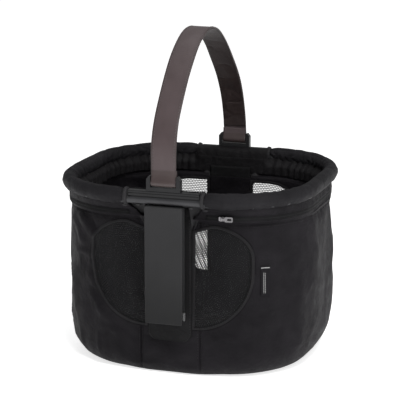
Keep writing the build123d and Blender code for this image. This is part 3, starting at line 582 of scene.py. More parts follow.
# the frame plastic carries painted shade on its lower parts
frame_plastic = plastic("frame_plastic", (0.026, 0.026, 0.0272), (0.036, 0.036, 0.0375), 0.5, 0.16, painted_shade_low=0.45)
rail_plastic = plastic("rail_plastic", (0.013, 0.013, 0.014), (0.019, 0.019, 0.020), 0.40, 0.26)
tab_plastic = plastic("tab_plastic", (0.075, 0.075, 0.076), (0.105, 0.105, 0.106), 0.35)
board_plastic = plastic("board_plastic", (0.02, 0.02, 0.02), (0.03, 0.03, 0.03), 0.6)
coil_plastic = plastic("coil_plastic", (0.005, 0.005, 0.0055), (0.009, 0.009, 0.0095), 0.5, 0.15)
tube_paint = metal("tube_paint", (0.026, 0.026, 0.029), (0.036, 0.036, 0.039), 0.33, 0.35, (1, 6, 6))
zip_metal = metal("zip_metal", (0.12, 0.118, 0.12), (0.26, 0.25, 0.26), 0.26)
black_steel = metal("black_steel", (0.020, 0.020, 0.021), (0.032, 0.032, 0.033), 0.4, 0.6)
aluminium = metal("aluminium", (0.52, 0.52, 0.53), (0.64, 0.64, 0.65), 0.4, brush=(8, 0.4, 8))
thread = fabric("thread", (0.016, 0.015, 0.017), (0.025, 0.024, 0.026), 0.6, 0.3, pitch=0.0003)


def leather(name, dark, light, roughness, edge_tone):
    """Fine-grained strap leather, darker near its edges."""
    f = Finish(name, roughness, 0.42)
    tone = f.ramp(f.noise(f.scaled(f.place, (1, 1, 0.5)), 26.0, 5.0), 0.3, 0.7, dark, light)
    rim = f.span(f.maths("ABSOLUTE", f.axis(f.place, 0)), 0.0165, 0.0205, 0.0, 1.0)
    mix = f.node("ShaderNodeMix", data_type="RGBA")
    f.feed(mix.inputs["Factor"], rim)
    f.feed(mix.inputs["A"], tone)
    mix.inputs["B"].default_value = (*edge_tone, 1)
    f.feed(f.shader.inputs["Base Color"], mix.outputs["Result"])
    grain = f.cells(f.place, 950.0)
    f.feed(f.shader.inputs["Roughness"], f.span(grain, 0.0, 0.8, roughness + 0.08, roughness - 0.08))
    f.bump(f.noise(f.place, 70.0, 4.0, 0.6), 0.0007, 0.5)
    f.bump(grain, 0.00012, 0.8)
    return f.material


strap_leather = leather("strap_leather", (0.060, 0.042, 0.043), (0.082, 0.060, 0.062),
                        0.46, (0.036, 0.025, 0.025))
strap_wrap = leather("strap_wrap", (0.046, 0.032, 0.031), (0.064, 0.046, 0.045), 0.42, (0.032, 0.022, 0.022))
strap_lining = leather("strap_lining", (0.018, 0.011, 0.011), (0.032, 0.021, 0.020),
                       0.5, (0.018, 0.013, 0.012))
strap_thread = fabric("strap_thread", (0.105, 0.095, 0.092), (0.145, 0.132, 0.128), 0.55, 0.4, pitch=0.0003)

for node, finish in (
        [(f"{e}_{part}", frame_plastic) for e, _ in ENDS for part in ("hanger_cover", "hanger_back")]
        + [(f"{e}_{part}", rail_plastic) for e, _ in ENDS for part in ("bridge", "handle_loop")]
        + [(f"{e}_release_tab", tab_plastic) for e, _ in ENDS]
        + [(f"rim_tube_{e}", tube_paint) for e, _ in ENDS]
        + [("zip_slider", zip_metal), ("zip_pull", zip_metal), ("base_board", board_plastic),
           ("tube_joiners", aluminium), ("joiner_rivets", black_steel), ("bridge_screws", black_steel),
           ("loop_screws", black_steel), ("hanger_screws", black_steel)]):
    nodes[node].data.materials.clear()
    nodes[node].data.materials.append(finish)

# ---- bag: side and centre panels, bottom ---------------------------------------------------------
to_window = 131 - 83 * (1 - np.sin(1.35 * np.arange(1, 25) / 24) / math.sin(1.35))
front_x = np.concatenate((np.linspace(0, COLUMN_X, 9), (40.0, 44.0, SEAM_X), to_window))
quarter_q = np.concatenate(([q_of_x(x) for x in front_x],
                             np.linspace(Q_WINDOW, 2, 27)[1:], np.linspace(2, 3, 9)[1:]))
ring_q = np.concatenate((quarter_q, 6 - quarter_q[-2::-1], 6 + quarter_q[1:], 12 - quarter_q[-2:0:-1]))
ROWS = np.concatenate((np.linspace(0, 1, 9), 1 + np.linspace(0, 1, 23)[1:], 2 + np.linspace(0, 1, 37)[1:],
                       3 + np.linspace(0, 1, 11)[1:]))


def columns_between(first, last):
    """Grid columns from first to last, in turns of the ring that may start below 0."""
    lap = np.concatenate((ring_q - 12, ring_q, ring_q + 12))
    return lap[(lap > first - 1e-6) & (lap < last + 1e-6)]


def panel(name, first, last, hole, **facts):
    """Part of the skin between two columns, open where hole says that a window is."""
    q = columns_between(first, last)
    x = np.abs(ring((q[1:] + q[:-1]) / 2, WALL)[0])

    def solid(i, j):
        return not (2 <= (ROWS[i] + ROWS[i + 1]) / 2 <= 3 and hole[0] < x[j] < hole[1])

    return thicken(build(name, [patch(wall(q, ROWS), keep=solid)], body_cloth, "body_fabric", **facts), CLOTH)


OPEN = (COLUMN_X, WINDOW_X)
panels = [panel("side_panel_cloth_right", Q_SEAM, 6 - Q_SEAM, OPEN, replaces=["side_panel_right"]),
          panel("side_panel_cloth_left", 6 + Q_SEAM, 12 - Q_SEAM, OPEN, replaces=["side_panel_left"]),
          panel("centre_panel_cloth_front", -Q_SEAM, Q_SEAM, OPEN, replaces=["centre_panel_front"]),
          panel("centre_panel_cloth_rear", 6 - Q_SEAM, 6 + Q_SEAM, OPEN, replaces=["centre_panel_rear"])]

edge = wall(ring_q, [0.0])[0]
shares = np.array([1.0, 0.97, 0.86, 0.66, 0.42, 0.2, 0.06])
bottom_points = edge[None, :, :] * xyz(shares, shares, 0 * shares)[:, None, :]
bottom_points[..., 2] = 0.5
bottom_points[0, :, 2] = 0.0
flat_bottom = patch(bottom_points[::-1], wrap=True)
flat_bottom[1].append(tuple(range(len(ring_q)))[::-1])
bottom = thicken(build("bottom_cloth", [flat_bottom], body_cloth, "body_fabric", replaces=["bottom_panel"],
                       closed=True), 2.4, 1.0)

# ---- mesh windows and their bindings -------------------------------------------------------------
BINDING_SECTION = rounded_bar(-0.4, 4.3, -CLOTH - 1.0, 1.5, 0.9)
for end, y_sign in ENDS:
    for side, x_sign in SIDES:
        first, last = {("front", "right"): (Q_COLUMN, Q_WINDOW),
                       ("rear", "right"): (6 - Q_WINDOW, 6 - Q_COLUMN),
                       ("rear", "left"): (6 + Q_COLUMN, 6 + Q_WINDOW),
                       ("front", "left"): (12 - Q_WINDOW, 12 - Q_COLUMN)}[end, side]
        q = columns_between(first, last)
        rows = ROWS[(ROWS >= 2 - 1e-6) & (ROWS <= 3 + 1e-6)]
        low, high = window_edges(q)
        z = low[None, :] + (high - low)[None, :] * (rows[:, None] - 2)
        slack = (np.sin(math.pi * (rows[:, None] - 2))
                 * np.sin(math.pi * np.linspace(0.02, 0.98, len(q)))[None, :])
        # drag lines in the mesh, fanning up and out from its lower inner corner
        x_here = np.abs(ring(q, WALL)[0])[None, :]
        angle = np.arctan2(z - 70, x_here - 30)
        reach = np.hypot(z - 70, x_here - 30)
        drag = np.sin(angle * 13 + 0.6 * x_sign) * smooth(reach / 60) * smooth((150 - reach) / 70)
        net = skin(q[None, :], z, -1.2 - 2.2 * slack + 1.7 * drag * slack)
        net_finish = front_net if end == "front" else rear_net
        mesh_obj = build(f"{end}_{side}_net", [patch(net)], net_finish, "window_mesh",
                         replaces=[f"{end}_{side}_mesh"])
        thicken(mesh_obj, 0.35, 0.0)
        outline_q = np.concatenate((q, np.full(7, q[-1]), q[::-1], np.full(35, q[0])))
        outline_z = np.concatenate((low, np.linspace(low[-1], high[-1], 9)[1:-1], high[::-1],
                                    np.linspace(high[0], low[0], 37)[1:-1]))
        line = skin(outline_q, outline_z)
        loop = resample(np.concatenate((line, line[:1])), 3.0)[:-1]
        _, _, nx, ny, _ = ring(outline_q, WALL)
        place = distances(np.concatenate((line, line[:1])))
        at = np.linspace(0, place[-1], len(loop) + 1)[:-1]
        nx, ny = np.append(nx, nx[0]), np.append(ny, ny[0])
        out = unit(xyz(np.interp(at, place, nx), np.interp(at, place, ny), 0 * at))
        along = tangents(loop, closed=True)
        into = unit(np.cross(out, along))
        binding = build(f"{end}_{side}_binding_tape",
                        [sweep(loop, into, out, BINDING_SECTION, wrap_ends=True)],
                        edge_cloth, "binding_tape", replaces=[f"{end}_{side}_binding"], closed=True)
        seam = loop + into * 3.4 + out * 1.6
        build(f"{end}_{side}_binding_stitches",
              [stitches(np.concatenate((seam, seam[:1])), np.concatenate((out, out[:1])))], thread)

# ---- column boards and their edge tape -----------------------------------------------------------
COLUMN_LOW, COLUMN_HIGH, COLUMN_CORNER = 56.0, 268.0, 14.0
COLUMN_HALF, COLUMN_T = 35.5, 3.4
for end, y_sign in ENDS:
    levels = np.concatenate((COLUMN_LOW + COLUMN_CORNER * (1 - np.cos(np.linspace(0, math.pi / 2, 9))),
                             np.linspace(COLUMN_LOW + COLUMN_CORNER, COLUMN_HIGH, 60)[1:]))
    drop = np.clip(COLUMN_LOW + COLUMN_CORNER - levels, 0, COLUMN_CORNER)
    width = COLUMN_HALF - COLUMN_CORNER + np.sqrt(COLUMN_CORNER ** 2 - drop ** 2)
    across = np.linspace(-1, 1, 29)
    x = width[:, None] * across[None, :]
    z = np.repeat(levels[:, None], 29, axis=1)
    face = xyz(x, 0 * x, z)
    crown = 1.1 * (1 - across ** 6)[None, :] * smooth((levels - COLUMN_LOW) / 10)[:, None]
    puckers = 0.9 * value_noise(face / (9, 9, 16), 21) * np.exp(-((levels - 78) / 22) ** 2)[:, None]
    depth = WALL[1] + COLUMN_T + crown + puckers
    outer = xyz(x * -y_sign, depth * y_sign, z)
    column = build(f"{end}_column_cloth", [patch(outer)],
                   column_cloth, "body_fabric", replaces=[f"{end}_column"])
    thicken(column, COLUMN_T)
    for side, x_sign in SIDES:
        edge_line = outer[:, 0 if x_sign * -y_sign < 0 else -1] + np.array([-x_sign * 2.6, y_sign * 0.5, 0])
        out = everywhere((0.0, float(y_sign), 0.0), edge_line)
        build(f"{end}_column_stitches_{side}", [stitches(edge_line, out)], thread)
    # soft gussets that close the gap beside the column, under the bare bar
    for side, x_sign in SIDES:
        rows = np.linspace(0, 1, 14)
        cols = np.linspace(0, 1, 8)
        inner_x = 35.2
        outer_x = 38.5 + 20.0 * rows
        gx = inner_x + (outer_x - inner_x)[:, None] * cols[None, :]
        gz = 236.0 + 38.0 * rows[:, None] + 0 * gx
        gy = (156.5 + (3.0 + 14.0 * rows ** 1.3)[:, None] * np.ones_like(gx)
              - 2.6 * np.sin(math.pi * cols)[None, :])
        pts = xyz(gx * x_sign, gy * y_sign, gz)
        if x_sign * y_sign > 0:
            pts = pts[:, ::-1]
        gusset = build(f"{end}_{side}_gusset", [patch(pts)], tape_cloth, "binding_tape")
        thicken(gusset, 1.0)

# ---- band with the zip, between the wall and the roll --------------------------------------------
LEVELS = (
    (WALL_TOP - 1.5, WALL, 0.8), (WALL_TOP + 1.5, WALL, 1.4), (252.6, (199.8, 163, 120.8), 0.6),
    (ZIP_LOW - 0.6, BAND, 0.6),
    (ZIP_LOW + 0.4, BAND, 1.2), (ZIP_LOW + 1.4, BAND, 0.2), (ZIP_HIGH - 1.4, BAND, 0.2),
    (ZIP_HIGH - 0.4, BAND, 1.5),
    (ZIP_HIGH + 0.8, BAND, 1.3), (ZIP_HIGH + 4, (198.6, 175.5, 125.2), 0.8),
    (BAND_TOP, (198, 181.5, 128.7), 0.0),
    (BAND_TOP + 5.5, (197.4, 182.6, 129.6), 0.0), (BAND_TOP + 8.5, (196.6, 182.8, 129.8), 0.0))


def band_half(start):
    """One side of the band, from its tapered front edge round to the rear one."""
    rows = []
    for level, shape, lift in LEVELS:
        x_first = 37.0 + 22.5 * np.clip((level - WALL_TOP) / 24, 0, 1)
        straight = shape[0] - shape[2]
        q = half_ring(x_first / straight, (9, 61, 13), start)
        x, y, nx, ny, _ = ring(q, shape)
        p = xyz(x, y, 0 * x + level)
        gather = 0.55 * value_noise(p / (7, 7, 30), 31) + 0.5 * value_noise(p / (23, 23, 40), 33)
        d = lift + gather * (0.35 if ZIP_LOW < level < ZIP_HIGH else 1.0)
        rows.append(xyz(x + nx * d, y + ny * d, 0 * x + level))
    return patch(np.array(rows))


band = build("top_band_cloth", [band_half(0), band_half(6)], body_cloth, "body_fabric", replaces=["top_band"])
thicken(band, 2.2)


ZIP_FIRST = 62.0


def zip_line(side_start, z, offset, pitch):
    """Line along the zip on one side, with its outward normals."""
    q = half_ring(ZIP_FIRST / (BAND[0] - BAND[2]), (12, 90, 20), side_start)
    x, y, nx, ny, _ = ring(q, BAND)
    line = xyz(x + nx * offset, y + ny * offset, 0 * x + z)
    even = resample(line, pitch)
    return even, np.cross(tangents(even), (0, 0, 1.0))


ZIP_MID = (ZIP_LOW + ZIP_HIGH) / 2
UP = np.array([0.0, 0.0, 1.0])
for side, start in (("right", 0), ("left", 6)):
    pieces_here = []
    for z0, z1 in ((ZIP_LOW + 0.7, ZIP_MID - 0.6), (ZIP_MID + 0.6, ZIP_HIGH - 0.7)):
        line, out = zip_line(start, (z0 + z1) / 2, 0.85, pitch=6.0)
        pieces_here.append(sweep(line, out, everywhere(UP, line),
                                 rounded_bar(-0.35, 0.35, (z0 - z1) / 2, (z1 - z0) / 2, 0.2, 1)))
    build(f"zip_tape_cloth_{side}", pieces_here, zip_cloth, "zip_tape",
          replaces=[f"zip_tape_{side}"], closed=True)
    line, out = zip_line(start, ZIP_MID, 0.95, pitch=0.8)
    beat = 0.72 + 0.28 * np.cos(np.arange(len(line)) * math.pi)
    section = tube_section(0.6, 1.25, 6)[None] * beat[:, None, None]
    build(f"zip_coil_{side}", [sweep(line, out, everywhere(UP, line), section)],
          coil_plastic, "zip_tape", closed=True)

# ---- inner skirt, gathered under the roll --------------------------------------------------------
SKIRT_LOW, SKIRT_HIGH = 256.0, 283.0
q = np.concatenate([np.linspace(a, a + 1, n, endpoint=False) for a, n in
                    zip(range(12), (60, 170, 44, 44, 170, 60, 60, 170, 44, 44, 170, 60))])
skirt_rows = []
for t in np.linspace(0, 1, 12):
    x, y, nx, ny, k = ring(q, SKIRT)
    flare = 10.5 * smooth((t - 0.5) / 0.5) * smooth((np.abs(x) - 56) / 14)
    p = xyz(x, y, 0 * x)
    fullness = smooth((k - 0.55) / 0.7)
    wander = value_noise(p / 26, 41)
    pleat = (np.sin(arc_length(q) / 2.3 + 2.4 * wander + 0.5 * t)
             * (0.4 + 0.6 * np.abs(value_noise(p / 19, 43))))
    d = -1.2 - (2.0 * pleat - 0.8) * fullness * (0.45 + 0.75 * math.sin(math.pi * (0.15 + 0.75 * t)))
    d = d + 0.7 * value_noise(p / 40 + t, 44)
    z = SKIRT_LOW + (SKIRT_HIGH - SKIRT_LOW) * t + 1.4 * value_noise(p / 32, 45) * (1 - t)
    d = d + flare
    skirt_rows.append(xyz(x + nx * d, y + ny * d, z))
skirt = build("skirt_cloth", [patch(np.array(skirt_rows), wrap=True)], inner_cloth, "lining_fabric",
              replaces=["liner_skirt"])
thicken(skirt, 0.9)

# flap of lining at each end, drawn up over the rail's inner edge so that the tongue doesn't show inside
for end, y_sign in ENDS:
    across = np.linspace(-1, 1, 61)
    heights = np.array([276.0, 279.0, 283.0, 288.0, 292.0, 295.0, 297.4, 299.0, 299.5])
    depths = np.array([165.2, 165.6, 166.2, 166.9, 167.7, 168.8, 170.8, 174.0, 177.2])
    x = 62.0 * across[None, :] + 0 * heights[:, None]
    p = xyz(x, depths[:, None] + 0 * x, heights[:, None] + 0 * x)
    puff = (0.5 * value_noise(p / (15, 15, 9), 46)
            - 0.7 * np.abs(np.sin(x / 5.0 + 2 * value_noise(p / 25, 47))) ** 3)
    puff = (puff - 0.4) * np.sin(math.pi * np.linspace(0, 1, len(heights)))[:, None]
    flap_points = xyz(x * y_sign, (p[..., 1] + puff) * y_sign, p[..., 2])
    flap = build(f"{end}_liner_flap", [patch(flap_points)], inner_cloth, "lining_fabric")
    thicken(flap, 0.7)


# ---- padded roll ---------------------------------------------------------------------------------
def baked(obj):
    """Mesh of obj as its modifiers leave it now."""
    graph = bpy.context.evaluated_depsgraph_get()
    return bpy.data.meshes.new_from_object(obj.evaluated_get(graph))


def coordinates(mesh):
    co = np.zeros(len(mesh.vertices) * 3)
    mesh.vertices.foreach_get("co", co)
    return co.reshape(-1, 3)


def inflate(obj, voxel, cap, pressure):
    """Remeshes a closed form evenly and lets pressure fill it, then holds each point near its start."""
    remesh = obj.modifiers.new("remesh", "REMESH")
    remesh.mode = "VOXEL"
    remesh.voxel_size = voxel * MM
    remesh.use_smooth_shade = True
    obj.data = baked(obj)
    obj.modifiers.clear()
    start = coordinates(obj.data)
    scene = bpy.context.scene
    cloth = obj.modifiers.new("fill", "CLOTH")
    cloth.settings.use_pressure = True
    cloth.settings.uniform_pressure_force = pressure
    cloth.settings.effector_weights.gravity = 0.0
    cloth.settings.tension_stiffness = 20.0
    cloth.settings.compression_stiffness = 20.0
    cloth.point_cache.frame_start = 1
    cloth.point_cache.frame_end = 20
    for step in range(1, 21):
        scene.frame_set(step)
    filled = coordinates(baked(obj))
    obj.modifiers.clear()
    scene.frame_set(1)
    move = filled - start
    far = np.linalg.norm(move, axis=1, keepdims=True)
    start = start + move * np.minimum(1, cap * MM / np.maximum(far, 1e-9))
    obj.data.vertices.foreach_set("co", start.ravel())
    fine = obj.modifiers.new("fine", "SUBSURF")
    fine.levels = fine.render_levels = 1
    obj.data = baked(obj)
    obj.modifiers.clear()
    obj.data.polygons.foreach_set("use_smooth", [True] * len(obj.data.polygons))
    return obj


def reshape(obj, points, cloth, finish):
    """Sets a filled piece's points, the places in its cloth, and its one material."""
    obj.data.vertices.foreach_set("co", (points * MM).ravel())
    layer = obj.data.attributes.get("cloth") or obj.data.attributes.new("cloth", "FLOAT_VECTOR", "POINT")
    layer.data.foreach_set("vector", (cloth * MM).ravel().astype(np.float32))
    obj.data.materials.clear()
    obj.data.materials.append(finish)


ROLL_Z = 288.0
ROLL_W, ROLL_H = 13.4, 15.0
SLEEVE_X = 63.0


def roll_section(shrink):
    """Teardrop: full at the top and drawn in at the sewn lower edge."""
    angle = np.radians(-90 + np.arange(28) * 360 / 28)
    narrow = 1 - 0.2 * np.clip(-np.sin(angle), 0, 1) ** 1.6
    return np.stack(((ROLL_W - shrink) * np.cos(angle) * narrow, (ROLL_H - shrink) * np.sin(angle)), axis=-1)


def rim_line(start):
    """Middle line of the roll on one side, with its outward normals and its place on each quarter."""
    q = half_ring(SLEEVE_X / (RIM[0] - RIM[2]), (3, 70, 18), start)
    x, y, nx, ny, k = ring(q, RIM)
    return xyz(x, y, 0 * x + ROLL_Z), xyz(nx, ny, 0 * nx), k


for side, start in (("right", 0), ("left", 6)):
    line, out, k = rim_line(start)
    run = distances(line)
    end_gap = np.minimum(run, run[-1] - run)
    squeeze = 1 - 0.14 * np.exp(-(end_gap / 7) ** 2)
    section = roll_section(1.4)[None] * squeeze[:, None, None]
    roll = build(f"roll_{side}", [sweep(line, out, everywhere(UP, line), section)],
                 roll_cloth, None, body=None, closed=True)
    inflate(roll, 4.0, 1.2, 4.0)
    # puckers, seam and wrinkles come after the filling, from each point's place along and round the roll
    p = coordinates(roll.data) / MM
    nearest = np.concatenate([np.argmin(((c[:, None, :2] - line[None, :, :2]) ** 2).sum(-1), axis=1)
                              for c in np.array_split(p, 12)])
    centre, normal = line[nearest], out[nearest]
    along_dir = tangents(line)[nearest]
    s = run[nearest] + ((p - centre) * along_dir).sum(1)
    side_way = ((p - centre) * normal).sum(1)
    height = p[:, 2] - ROLL_Z
    angle = np.arctan2(height / ROLL_H, side_way / ROLL_W)
    radial = unit(normal * side_way[:, None] + UP * height[:, None])
    inner = np.clip(-np.cos(angle), 0, 1)
    corner = np.interp(s, run, smooth(np.minimum(k - 0.8, 2.4 - k) / 0.35))
    wander = value_noise(xyz(s / 24, angle * 0.9, 0 * s), 51)
    tight = np.abs(np.sin(s / 5.2 + 1.9 * wander)) ** 0.7
    loose = np.abs(np.sin(s / 13.0 + 1.4 * wander + 0.8 * angle))
    bottom_edge = np.exp(-((angle + math.pi / 2) / 0.8) ** 2)
    ends = np.exp(-(np.minimum(s, run[-1] - s) / 13) ** 2)
    d = -2.0 * (1 - tight) * inner * (0.25 + 0.75 * corner)
    d = d - 0.9 * (1 - loose) * (0.35 + 0.65 * corner) - 1.2 * (1 - tight) * bottom_edge
    d = d - 1.3 * (1 - np.abs(np.sin(angle * 7 + wander))) * ends
    d = d + 0.6 * value_noise(xyz(s / 40, angle, 0 * s), 53)
    d = d - 0.9 * np.exp(-((angle - 2.1) / 0.07) ** 2)
    p = p + radial * d[:, None]
    reshape(roll, p, xyz(s, angle * 13.0, 0 * s), roll_cloth)
    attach(roll, "frame")
    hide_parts(f"rim_sleeve_{side}", f"rim_foam_{side}")

# elastic collars that close the roll's four ends, each with a small fold of gathered cloth below it
collars, lumps = [], []
for x_sign in (-1, 1):
    for y_sign in (-1, 1):
        stations = np.array([0.0, 0.5, 1.6, 3.2, 4.8, 6.0, 6.6])
        grow = np.array([0.70, 0.90, 0.985, 1.0, 0.985, 0.93, 0.80])
        x = x_sign * (58.2 + stations)
        centres = xyz(x, 0 * x + 183.0 * y_sign, 0 * x + ROLL_Z)
        across = everywhere((0.0, float(y_sign), 0.0), x)
        angle = np.radians(-90 + np.arange(40) * 9.0)
        ripple = 1 + 0.035 * np.sin(angle * 13)
        section = (np.stack((11.9 * np.cos(angle) * ripple, 13.4 * np.sin(angle) * ripple), -1)[None]
                   * grow[:, None, None])
        collars.append(sweep(centres, across, everywhere(UP, x), section))
        # fold: a flattened drop hanging from the collar's underside
        turn = np.linspace(0, math.pi, 7)[1:-1]
        drop = xyz(0 * turn + x_sign * 64.0, 0 * turn + y_sign * 181.5, 276.5 - 6.5 * (turn / math.pi))
        size = 0.35 + 0.65 * np.sin(turn)
        lump_section = tube_section(2.6, 4.6, 14)[None] * size[:, None, None]
        lumps.append(sweep(drop, everywhere((0, 1.0, 0), turn),
                           everywhere((1.0, 0, 0), turn), lump_section))
build("roll_collars", collars + lumps, tape_cloth, "roll_fabric",
      replaces=["sleeve_end_bindings"], closed=True)

# dark strips let into the rail's outer face, painted shade for two grooves: one where it meets the tube, one
# half way up
groove_shade_strips = []
for end, y_sign in ENDS:
    for low, high in ((288.4, 290.2), (293.6, 294.7)):
        x = np.linspace(-56.0, 56.0, 15)
        centres = xyz(x, 0 * x + 190.0 * y_sign, 0 * x)
        groove_shade_strips.append(sweep(centres, np.tile((0, float(y_sign), 0), (15, 1)), np.tile(UP, (15, 1)),
                           rounded_bar(-0.5, 0.25, low, high, 0.2)))
build("rail_groove_shade_strips", groove_shade_strips, coil_plastic, "frame_plastic", closed=True)

# ---- floor pad -----------------------------------------------------------------------------------
PAD = (170.0, 128.0, 91.0)
PAD_TOP = 19.4
QUILT_PITCH = 58.0
q = np.concatenate([np.linspace(a, a + 1, n, endpoint=False)
                    for a, n in zip(range(12), (10, 22, 6, 6, 22, 10) * 2)])
pad_rows = []
for inset, z in ((6.0, 7.2), (1.6, 8.0), (0.0, 10.0), (0.0, 14.0), (1.8, 16.6), (6.0, 17.4)):
    x, y, _, _, _ = ring(q, [v - inset for v in PAD])
    pad_rows.append(xyz(x, y, 0 * x + z))
pad = build("floor_pad_cushion", [patch(np.array(pad_rows), wrap=True, caps=True)],
            pad_cloth, None, body=None, closed=True)
inflate(pad, 6.0, 2.2, 3.0)
p = coordinates(pad.data) / MM
top = smooth((p[:, 2] - 13) / 4)
rim_gap = 1 - np.maximum(np.abs(p[:, 0]) / PAD[0], np.abs(p[:, 1]) / PAD[1])
crown = 1.4 * smooth(rim_gap / 0.5)
diamond = np.minimum(np.abs(((p[:, 0] + p[:, 1]) / QUILT_PITCH) % 1 - 0.5),
                     np.abs(((p[:, 0] - p[:, 1]) / QUILT_PITCH) % 1 - 0.5)) * QUILT_PITCH
p[:, 2] += top * (crown - 2.6 * np.exp(-(diamond / 3.4) ** 2) + 0.5 * value_noise(p / 22, 61))
p[:, 2] = np.minimum(p[:, 2], PAD_TOP)
reshape(pad, p, p, pad_cloth)
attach(pad, "frame")
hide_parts("floor_pad")

# ---- label ---------------------------------------------------------------------------------------
label_finish = Finish("label_ribbon", 0.7, 0.1)
threads = label_finish.weave(label_finish.cloth, 0.0006)


def stripe(axis, middle, half):
    """1 inside a stripe of the ribbon and 0 outside."""
    place = label_finish.axis(label_finish.cloth, axis)
    gap = label_finish.maths("ABSOLUTE", label_finish.maths("SUBTRACT", place, middle))
    return label_finish.span(gap, half, half + 0.0002, 1.0, 0.0)


LABEL_W, LABEL_H = 13.0, 46.0
marks = stripe(1, 0.0435, 0.0006)
for middle in (0.0042, 0.0066):
    inside = label_finish.maths("MULTIPLY", stripe(0, middle, 0.0004), stripe(1, 0.020, 0.016))
    beads = label_finish.ribs(label_finish.cloth, 0.0021 + 0.1 * middle, 1)
    inside = label_finish.maths("MULTIPLY", inside, label_finish.span(beads, 0.35, 0.55, 0.0, 1.0))
    marks = label_finish.maths("MAXIMUM", marks, inside)
tone = label_finish.ramp(marks, 0.0, 1.0, (0.010, 0.009, 0.011), (0.34, 0.34, 0.34))
label_finish.feed(label_finish.shader.inputs["Base Color"], tone)
label_finish.bump(threads, 0.0001)
label_finish.bump(label_finish.noise(label_finish.place, 120.0), 0.0004)

LABEL_Q = 1 + 33.0 / 90
dq = LABEL_W / CORNER_RUN / 2
q = np.linspace(LABEL_Q - dq, LABEL_Q + dq, 10)
z = np.linspace(137.0, 183.0, 28)
lift = 0.9 + 1.3 * smooth((z - 150) / -14)[:, None] + 0.5 * np.abs(np.linspace(-1, 1, 10))[None, :] ** 3
label = build("side_label_ribbon", [patch(skin(q[None, :], z[:, None], lift))],
              label_finish.material, "label_fabric", replaces=["side_label"])
thicken(label, 0.5)

# ---- seam stitching on the bag -------------------------------------------------------------------
seams = []
for centre in (0.0, 6.0):
    for way in (-1, 1):
        for beside in (-2.6, 2.6):
            at = centre + way * q_of_x(SEAM_X + beside)
            z = np.linspace(28, WINDOW_LOW - 3, 22)
            qs = np.full(len(z), at)
            _, _, nx, ny, _ = ring(qs, WALL)
            seams.append(stitches(skin(qs, z, 0.25), xyz(nx, ny, 0 * nx)))
for start in (0, 6):
    qs = np.linspace(q_of_x(40) + start, 6 - q_of_x(40) + start, 240)
    _, _, nx, ny, _ = ring(qs, WALL)
    seams.append(stitches(skin(qs, np.full(len(qs), TOP_SEAM), 0.25), xyz(nx, ny, 0 * nx)))
build("bag_stitching", seams, thread)

# ---- carrying strap ------------------------------------------------------------------------------
ARCH_Y, ARCH_LEVEL = 185.0, 320.0
ARCH_POINTS = np.array(((-185, 0), (-185, 16), (-181, 58), (-158, 102), (-112, 154), (-60, 192), (-8, 204.4),
                        (46, 188.5), (102, 147), (150, 97), (176.5, 46), (184, 16), (185, 0)), float)
BAR_Z, BAR_WRAP = 312.0, 5.8
LEATHER_T = 2.3
SEAM_Z = 331.0


def arch_spline(count):
    """Curve through the arch's points, upright at both feet, with even steps and its outward normals."""
    gaps = np.linalg.norm(np.diff(ARCH_POINTS, axis=0), axis=1)
    n = len(ARCH_POINTS)
    # slopes at the points that make the curve's bend run on from one piece to the next
    system, load = np.eye(n), np.zeros((n, 2))
    load[0], load[-1] = (0, 1), (0, -1)
    for i in range(1, n - 1):
        before, after = gaps[i - 1], gaps[i]
        system[i, i - 1:i + 2] = after, 2 * (before + after), before
        load[i] = 3 * (after * (ARCH_POINTS[i] - ARCH_POINTS[i - 1]) / before
                       + before * (ARCH_POINTS[i + 1] - ARCH_POINTS[i]) / after)
    slopes = np.linalg.solve(system, load)
    pieces = []
    for i, gap in enumerate(gaps):
        t = np.linspace(0, 1, 40, endpoint=False)[:, None]
        pieces.append((2 * t ** 3 - 3 * t ** 2 + 1) * ARCH_POINTS[i]
                      + (t ** 3 - 2 * t ** 2 + t) * gap * slopes[i]
                      + (3 * t ** 2 - 2 * t ** 3) * ARCH_POINTS[i + 1]
                      + (t ** 3 - t ** 2) * gap * slopes[i + 1])
    curve = np.concatenate(pieces + [ARCH_POINTS[-1:]])
    curve = resample(xyz(0 * curve[:, 0], curve[:, 0], curve[:, 1] + ARCH_LEVEL),
                     700.0 / count)
    along = tangents(curve)
    return curve, xyz(0 * along[:, 1], -along[:, 2], along[:, 1])


def arch_points(offset, count, low=0.0):
    """Line at a distance outside the arch's middle line, between two points low above its feet."""
    curve, out = arch_spline(count)
    line = curve + out * offset
    return line[curve[:, 2] > ARCH_LEVEL + low]


def strap_line():
    """Middle line of the leather: from the sewn end inside, round the front bar, over the arch, and the same
    at the rear."""
    start = np.array([(0, -183.3, SEAM_Z - 0.5), (0, -183.3, 328.0), (0, -182.2, 321.0), (0, -180.6, 315.5)])
    turn = np.radians(np.linspace(0, -180, 13))
    wrap = xyz(0 * turn, -185 + BAR_WRAP * np.cos(turn), BAR_Z + BAR_WRAP * np.sin(turn))
    rise = np.array([(0, -188.6, 316.5), (0, -187.2, 322.5)])
    arch = arch_points(1.3, 240, 9.5)
    half = np.concatenate((start, wrap, rise))
    return np.concatenate((half, arch, half[::-1] * (1, -1, 1)))


